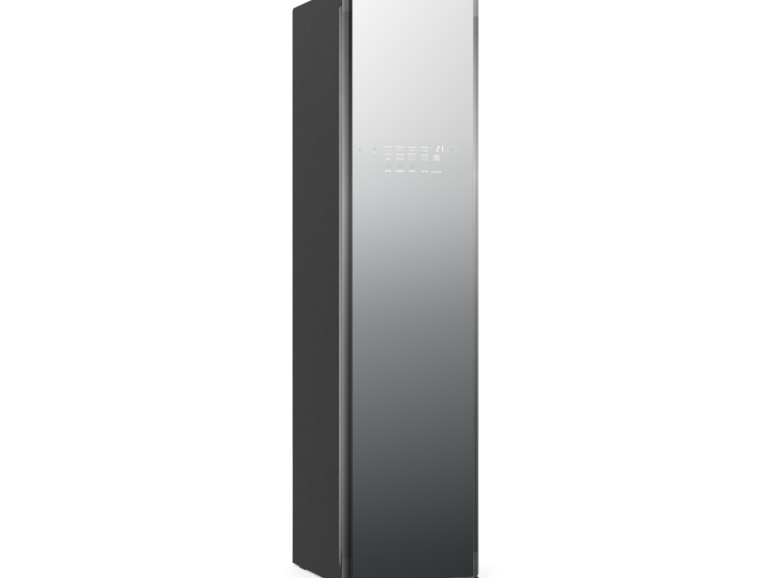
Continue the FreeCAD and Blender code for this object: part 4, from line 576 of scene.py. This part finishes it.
PALE_ROWS = [
    (FIRST, 24.0, 1342.0, 3.4, (0.4, 0.6)),
    (SECOND, 25.0, 1343.0, 5.0, (0.5, 0.5)),
    (SECOND, 26.0, 1316.0, 7.0, (1.0,)),
    (THIRD, 24.0, 1322.5, 3.2, (0.3, 0.3, 0.4)),
    (FOURTH, 25.0, 1322.5, 3.2, (0.55, 0.45)),
    (THIRD, 24.0, 1314.5, 3.2, (0.3, 0.3, 0.4)),
    (FOURTH, 25.0, 1314.5, 3.2, (0.55, 0.45)),
    (76.0, 20.0, 1322.0, 19.0, (1.0,)),
    (-127.8, 12.0, 1334.5, 6.0, (0.5, 0.5)),
    (74.0, 33.0, 1278.0, 5.0, (0.45, 0.55)),
    (KEY_ICON[0], 26.0, 1357.0, 1.6, (1.0,)),
]
DARK_ROWS = [
    (FIRST, 22.0, 1347.8, HAIRLINE, (1.0,)),
    (FOURTH, 22.0, 1336.5, HAIRLINE, (1.0,)),
]


def bar(form, x, z):
    """One flat printed bar; x and z are the spans that it fills."""
    form.block((x[0] * MM, MARK_FRONT, z[0] * MM), (x[1] * MM, MARK_BACK, z[1] * MM))


def bar_by(form, icon, x, z):
    """A bar whose spans are counted from the middle of an icon."""
    bar(form, [icon[0] + end for end in x], [icon[1] + end for end in z])


def print_rows(form, rows):
    """Rows of short bars."""
    for middle, width, z, height, shares in rows:
        room = width - MARK_GAP * (len(shares) - 1)
        at = middle - width / 2
        for share in shares:
            bar(form, (at, at + room * share), (z - height / 2, z + height / 2))
            at += room * share + MARK_GAP


def ring_mark(form, x, z, outer, inner):
    """A flat printed ring."""
    depth = MARK_BACK - MARK_FRONT
    outline = [(0, outer * MM), (depth, outer * MM), (depth, inner * MM), (0, inner * MM)]
    form.turned((x * MM, MARK_BACK, z * MM), TO_FRONT, outline, 32, True)


def digit(form, x, z, segments, width=9.0, height=19.0, line=2.6, gap=0.4):
    """A plain digit of seven segments, named by where they lie."""
    right = x + width - line
    middle = z + (height - line) / 2
    levels = {"top": z + height - line, "middle": middle, "bottom": z}
    for name in segments:
        if name in levels:
            bar(form, (x + line + gap, right - gap), (levels[name], levels[name] + line))
        else:
            side = x if "left" in name else right
            low, high = (middle + line / 2, z + height) if "upper" in name else (z, middle + line / 2)
            bar(form, (side, side + line), (low + gap / 2, high - gap / 2))


def light_marks():
    """The brighter rows of bars."""
    light = Form()
    print_rows(light, LIGHT_ROWS)
    light.put("panel_marks_light", "mark_light", "door")


def number_mark():
    """A plain number."""
    number = Form()
    level = 1339.5
    digit(number, 75.5, level, ("top", "upper right", "middle", "lower left", "bottom"))
    digit(number, 87.5, level, ("upper right", "lower right"))
    number.put("panel_number", "mark_bright", "door")


def pale_marks():
    """The paler rows of bars, and two short uprights beside the key icon."""
    pale = Form()
    print_rows(pale, PALE_ROWS)
    reach = 14.0
    half = 1.4
    for side in (-1, 1):
        bar_by(pale, KEY_ICON, (side * reach - half, side * reach + half), (-4.0, 4.0))
    pale.put("panel_marks_pale", "mark_pale", "door")


def dark_marks():
    """Plain icons and buttons of rings and short bars, and two hairlines."""
    dark = Form()
    ring_mark(dark, *LAMP_ICON, outer=4.0, inner=1.6)
    ring_mark(dark, *DIAL_ICON, outer=4.6, inner=2.4)
    bar_by(dark, DIAL_ICON, (-0.8, 0.8), (5.2, 9.0))
    ring_mark(dark, *KEY_ICON, outer=3.6, inner=1.2)
    bar_by(dark, KEY_ICON, (5.5, 9.0), (-0.9, 0.9))
    print_rows(dark, DARK_ROWS)
    for button in (POWER_BUTTON, MENU_BUTTON, START_BUTTON):
        ring_mark(dark, *button, outer=6.4, inner=4.4)
    bar_by(dark, POWER_BUTTON, (-1.0, 1.0), (0.5, 4.0))
    for level in (-2.4, 0, 2.4):
        bar_by(dark, MENU_BUTTON, (-2.6, 2.6), (level - 0.5, level + 0.5))
    ring_mark(dark, *START_BUTTON, outer=2.4, inner=0.8)
    dark.put("panel_marks_dark", "mark_dark", "door")


# ------------------------------------------------------------------ screws
def every(xs, zs):
    """Every pairing of sideways places and heights."""
    return [(x, z) for x in xs for z in zs]


def screw_group(name, body, face, direction, places, radius, rise):
    """Like screws on one upright face, as one piece; the places and sizes are in millimetres."""
    group = Form()
    for x, z in places:
        group.screw(mm(x, face / MM, z), direction, radius * MM, rise * MM)
    group.put(name, "screw_steel", body)


def case_screws():
    """Screws of the rear sheets: along both edges, and below and above the seam between the sheets."""
    edge = case_side / MM - 10
    seam = (386, 418)
    places = every((-edge, edge), (24, 140, 262, *seam, 760, 1100, 1440, 1784)) + every((0,), seam)
    screw_group("case_screws", "cabinet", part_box("rear_panel")[1].y, TO_REAR, places, 3.6, 1.6)


def frame_screws():
    """Screws of the front frame: above the cabin, between cabin and tanks, and at the foot."""
    above, between, foot = 1770, 366, 40
    places = every((-180, 180), (between, above)) + every((-120, 120), (foot,)) + [(0, above), (0, between)]
    screw_group("frame_screws", "cabinet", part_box("front_frame")[0].y, TO_FRONT, places, 3.2, 1.1)


def door_screws():
    """Screws of the inner door, along its sides and its ends."""
    low, high = 60, 1800
    places = every((-197, 197), (low, 210, 355, 1745, high)) + every((-70, 70), (low, high))
    screw_group("door_screws", "door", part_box("top_door_cap")[1].y, TO_REAR, places, 3.2, 1.1)


def machine_screws():
    """Screws at the corners of the control box's lid and of the gearbox."""
    heads = Form()
    low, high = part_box("control_box")
    inset = 8 * MM
    for x in (low.x + inset, high.x - inset):
        for y in (low.y + inset, high.y - inset):
            heads.screw((x, y, high.z), UP, 3.0 * MM, 1.2 * MM)
    low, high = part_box("gear_motor")
    inset = 4 * MM
    gearbox_height = 23 * MM
    for y in (low.y + inset, high.y - inset):
        for x in (low.x + inset, high.x - inset):
            heads.screw((x, y, low.z + gearbox_height), UP, 2.6 * MM, 1.1 * MM)
    heads.put("machine_screws", "screw_steel", "cabinet")


# ------------------------------------------------------------------ fittings
def rear_pads():
    """Wide rubber pads round the rear feet, almost as far out as the case's sides."""
    low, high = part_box("rear_feet")
    height = 5.5 * MM
    margin = 2 * MM           # round the feet, and inwards from the case's side
    width = 58 * MM
    outer = case_side - margin
    pads = Form()
    for side in (-1, 1):
        near, far = sorted((side * (outer - width), side * outer))
        pads.block((near, low.y - margin, 0), (far, high.y + margin, height), 1.4 * MM)
    pads.put("rear_foot_pads", "hose_rubber", "cabinet")


def cabin_ribs():
    """Shallow upright ribs pressed into the cabin's walls."""
    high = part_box("cabin_liner")[1]
    wall = 3.0
    half = 4.0
    rise = 1.4
    root = 0.6                # how deep a rib goes into the wall
    foot, head = 530, 1640
    rear_places = range(-150, 151, 50)
    side_places = range(-140, 161, 60)
    soften = 0.8 * MM
    side = high.x / MM - wall
    back = high.y / MM - wall
    ribs = Form()
    for x in rear_places:
        ribs.block(mm(x - half, back - rise, foot), mm(x + half, back + root, head), soften)
    for way in (-1, 1):
        inner, outer = sorted((way * (side - rise), way * (side + root)))
        for y in side_places:
            ribs.block(mm(inner, y - half, foot), mm(outer, y + half, head), soften)
    ribs.put("cabin_ribs", "liner_moulding", "cabinet")


def lamp_ribs():
    """Fine prisms across the cabin lamp's lens."""
    low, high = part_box("cabin_lamp")
    edge = 6 * MM
    pitch = 5 * MM
    half = 1.4 * MM
    drop = 0.7 * MM
    root = 0.5 * MM           # how deep a prism goes into the lens
    count = int((high.x - low.x - 2 * edge) / pitch) + 1
    start = (low.x + high.x - (count - 1) * pitch) / 2
    ribs = Form()
    for k in range(count):
        x = start + k * pitch
        ribs.block((x - half, low.y + edge, low.z - drop), (x + half, high.y - edge, low.z + root), 0.4 * MM)
    ribs.put("lamp_ribs", "lamp_lens", "cabinet")


def tank_cap(node):
    """Round filler cap with a flange and a knurled edge."""
    low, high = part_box(node)
    place = Vector(((low.x + high.x) / 2, (low.y + high.y) / 2, high.z))
    radius = 21.0
    ridge_count = 36
    flange = outline_mm((-0.5, 24), (2, 24), (2.8, 22.5), (2.8, 20))
    ridge = outline_mm((0, 1.6), (8.5, 1.6), (9, 1.1))
    top = outline_mm((2, radius), (8.8, radius), (9.6, radius - 1.5))
    cap = Form()
    cap.turned(place, UP, flange, 48)
    for k in range(ridge_count):
        angle = 2 * math.pi * k / ridge_count
        cap.turned(place + mm(radius * math.cos(angle), radius * math.sin(angle), 2), UP, ridge, 8)
    cap.turned(place, UP, top, 48)
    cap.put(node + "_cap", "pump_plastic", node)


def tank_level_lines(node):
    """Level lines on the tank's front, every fourth one longer."""
    low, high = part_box(node)
    left = (low.x + high.x) / 2 + 50 * MM
    lowest = 50 * MM
    pitch = 18 * MM
    half = 0.5 * MM
    rise = 0.4 * MM
    root = 0.2 * MM
    lines = Form()
    for k in range(9):
        z = low.z + lowest + pitch * k
        reach = 16 * MM if k % 4 == 0 else 9 * MM
        lines.block((left, low.y - rise, z - half), (left + reach, low.y + root, z + half))
    lines.put(node + "_level_lines", "mark_light", node)


def steps(start, stop, pitch):
    """Places a pitch apart, from start up to stop."""
    return [start + pitch * k for k in range(math.ceil((stop - start) / pitch))]


def filter_mesh():
    """Fine woven mesh in the lint filter's cells."""
    low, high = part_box("lint_filter")
    inset = 6 * MM
    pitch = 3 * MM
    wire = 0.3 * MM           # half of a wire's width
    level = low.z + 20 * MM
    over = 1.6 * wire         # the wires along X lie this much higher
    left, right = low.x + inset, high.x - inset
    front, rear = low.y + inset, high.y - inset
    cloth = Form()
    for x in steps(left, right, pitch):
        cloth.block((x - wire, front, level), (x + wire, rear, level + 2 * wire))
    for y in steps(front, rear, pitch):
        cloth.block((left, y - wire, level + over), (right, y + wire, level + over + 2 * wire))
    cloth.put("filter_mesh", "filter_cloth", "lint_filter")


def press_felt():
    """Felt pad on the fixed half of the press."""
    low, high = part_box("press_plate")
    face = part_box("press_base")[0].y + 18 * MM
    side = low.x + 12 * MM
    margin = 14 * MM
    rise = 0.8 * MM
    root = 0.2 * MM
    pad = Form()
    pad.block((side, face - root, low.z + margin), (-side, face + rise, high.z - margin), 0.3 * MM)
    pad.put("press_felt", "felt", "door")


def compressor_seam():
    """Welded seam round the can, and the cover over its terminals."""
    low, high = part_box("compressor")
    x, y = (low.x + high.x) / 2, (low.y + high.y) / 2
    can = (high.x - low.x) / 2 / MM
    foot, head = 96, 102
    slope = 1.5
    outer, edge, root = can + 1.2, can - 0.5, can - 2
    cover_half = 19 * MM
    cover_low, cover_high = 112 * MM, 150 * MM
    cover_front, cover_back = low.y - 12 * MM, low.y + 4 * MM
    seam = Form()
    seam.turned((x, y, 0), UP, outline_mm((foot, edge), (foot + slope, outer), (head - slope, outer),
                                          (head, edge), (head, root), (foot, root)), 64, True)
    seam.block((x - cover_half, cover_front, cover_low), (x + cover_half, cover_back, cover_high), 3 * MM)
    seam.put("compressor_seam", "motor_black", "cabinet")


def boiler_straps():
    """Two steel straps round the boiler, each with its clamp block in front."""
    low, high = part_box("steam_generator")
    depth_half = (high.y - low.y) / 2
    x, y = high.x - depth_half, low.y + depth_half  # the boiler's axis
    can = 42.0
    thickness = 0.8
    width = 12.0
    clamp_half = 6 * MM
    clamp_front, clamp_back = 48.5 * MM, 41.5 * MM
    straps = Form()
    for z in (45.0, 130.0):
        ring = outline_mm((z, can), (z, can + thickness), (z + width, can + thickness), (z + width, can))
        straps.turned((x, y, 0), UP, ring, 64, True)
        straps.block((x - clamp_half, y - clamp_front, (z + 1) * MM),
                     (x + clamp_half, y - clamp_back, (z + width - 1) * MM), 1 * MM)
    straps.put("boiler_straps", "screw_steel", "cabinet")


light_marks()
number_mark()
pale_marks()
dark_marks()
case_screws()
frame_screws()
door_screws()
rear_pads()
cabin_ribs()
lamp_ribs()
for tank in ("supply_tank", "drain_tank"):
    tank_cap(tank)
    tank_level_lines(tank)
filter_mesh()
press_felt()
compressor_seam()
boiler_straps()
machine_screws()


# ------------------------------------------------------------------ studio
FLOOR_SIZE = 40
FLOOR_LIFT = 0.43             # light that the floor adds where the camera sees it
WORLD_LEVEL = 0.72            # light that falls on the cabinet from all round
LAMP_SIZE = 2.4
LAMP_AIM = (0, 0, 0.9)
LAMPS = {                     # place, and power in watts
    "key": ((-3.0, -3.6, 3.4), 90),
    "fill": ((3.4, -2.6, 2.2), 30),
    "back": ((0.6, 4.0, 3.2), 50),
}
CAMERA_PLACE = (-2.061, -6.224, 0.962)
CAMERA_TURN = 18.36           # degrees to the right, away from straight towards the rear
CAMERA_LENS = 95.42
CAMERA_SENSOR = 36.0
CAMERA_SHIFT = -0.0192


def pale_floor():
    """Floor that keeps its shadows, and that metal and glass see as plain white."""
    bpy.ops.mesh.primitive_plane_add(size=FLOOR_SIZE, location=(0, 0, 0))
    floor = bpy.context.object
    floor.name = "floor"
    made = Finish("floor", grey(0.82), rough=0.9, Specular_IOR_Level=0.0)
    rays = made.node("LightPath").outputs
    mirrored = made.maths("MAXIMUM", rays["Is Glossy Ray"], rays["Is Transmission Ray"])
    plain = made.shader.outputs[0]
    lift = made.node("Emission")
    lift.inputs["Strength"].default_value = FLOOR_LIFT
    lifted = made.node("AddShader", plain, lift.outputs[0]).outputs[0]
    seen = made.node("MixShader", rays["Is Camera Ray"], plain, lifted).outputs[0]
    white = made.node("Emission").outputs[0]
    shown = made.node("MixShader", mirrored, seen, white).outputs[0]
    made.feed(made.tree.nodes["Material Output"].inputs[0], shown)
    floor.data.materials.append(made.material)


def white_world():
    """White surroundings that light the cabinet a little less than they show."""
    world = bpy.data.worlds.new("studio")
    bpy.context.scene.world = world
    world.use_nodes = True
    nodes = world.node_tree.nodes
    link = world.node_tree.links.new
    rays = nodes.new("ShaderNodeLightPath").outputs
    mirrored = nodes.new("ShaderNodeMath")
    mirrored.operation = "MAXIMUM"
    link(rays["Is Glossy Ray"], mirrored.inputs[0])
    link(rays["Is Transmission Ray"], mirrored.inputs[1])
    seen = nodes.new("ShaderNodeMath")
    seen.operation = "MAXIMUM"
    link(rays["Is Camera Ray"], seen.inputs[0])
    link(mirrored.outputs[0], seen.inputs[1])
    strength = nodes.new("ShaderNodeMapRange")
    strength.inputs["To Min"].default_value = WORLD_LEVEL
    link(seen.outputs[0], strength.inputs["Value"])
    link(strength.outputs[0], nodes["Background"].inputs["Strength"])
    nodes["Background"].inputs["Color"].default_value = grey(1)


def soft_lamps():
    """Square lamps that face the cabinet."""
    for name, (place, power) in LAMPS.items():
        data = bpy.data.lights.new(name, "AREA")
        data.size = LAMP_SIZE
        data.energy = power
        lamp = bpy.data.objects.new(name, data)
        lamp.location = place
        lamp.rotation_euler = (Vector(LAMP_AIM) - Vector(place)).to_track_quat("-Z", "Y").to_euler()
        bpy.context.scene.collection.objects.link(lamp)


def level_camera():
    """Level camera with the photograph's view."""
    data = bpy.data.cameras.new("camera")
    data.lens = CAMERA_LENS
    data.sensor_width = CAMERA_SENSOR
    data.shift_y = CAMERA_SHIFT
    camera = bpy.data.objects.new("camera", data)
    camera.location = CAMERA_PLACE
    camera.rotation_euler = (math.pi / 2, 0, -math.radians(CAMERA_TURN))
    bpy.context.scene.collection.objects.link(camera)
    bpy.context.scene.camera = camera


pale_floor()
white_world()
soft_lamps()
level_camera()
bpy.context.scene.view_settings.view_transform = "Standard"

bpy.context.view_layer.update()
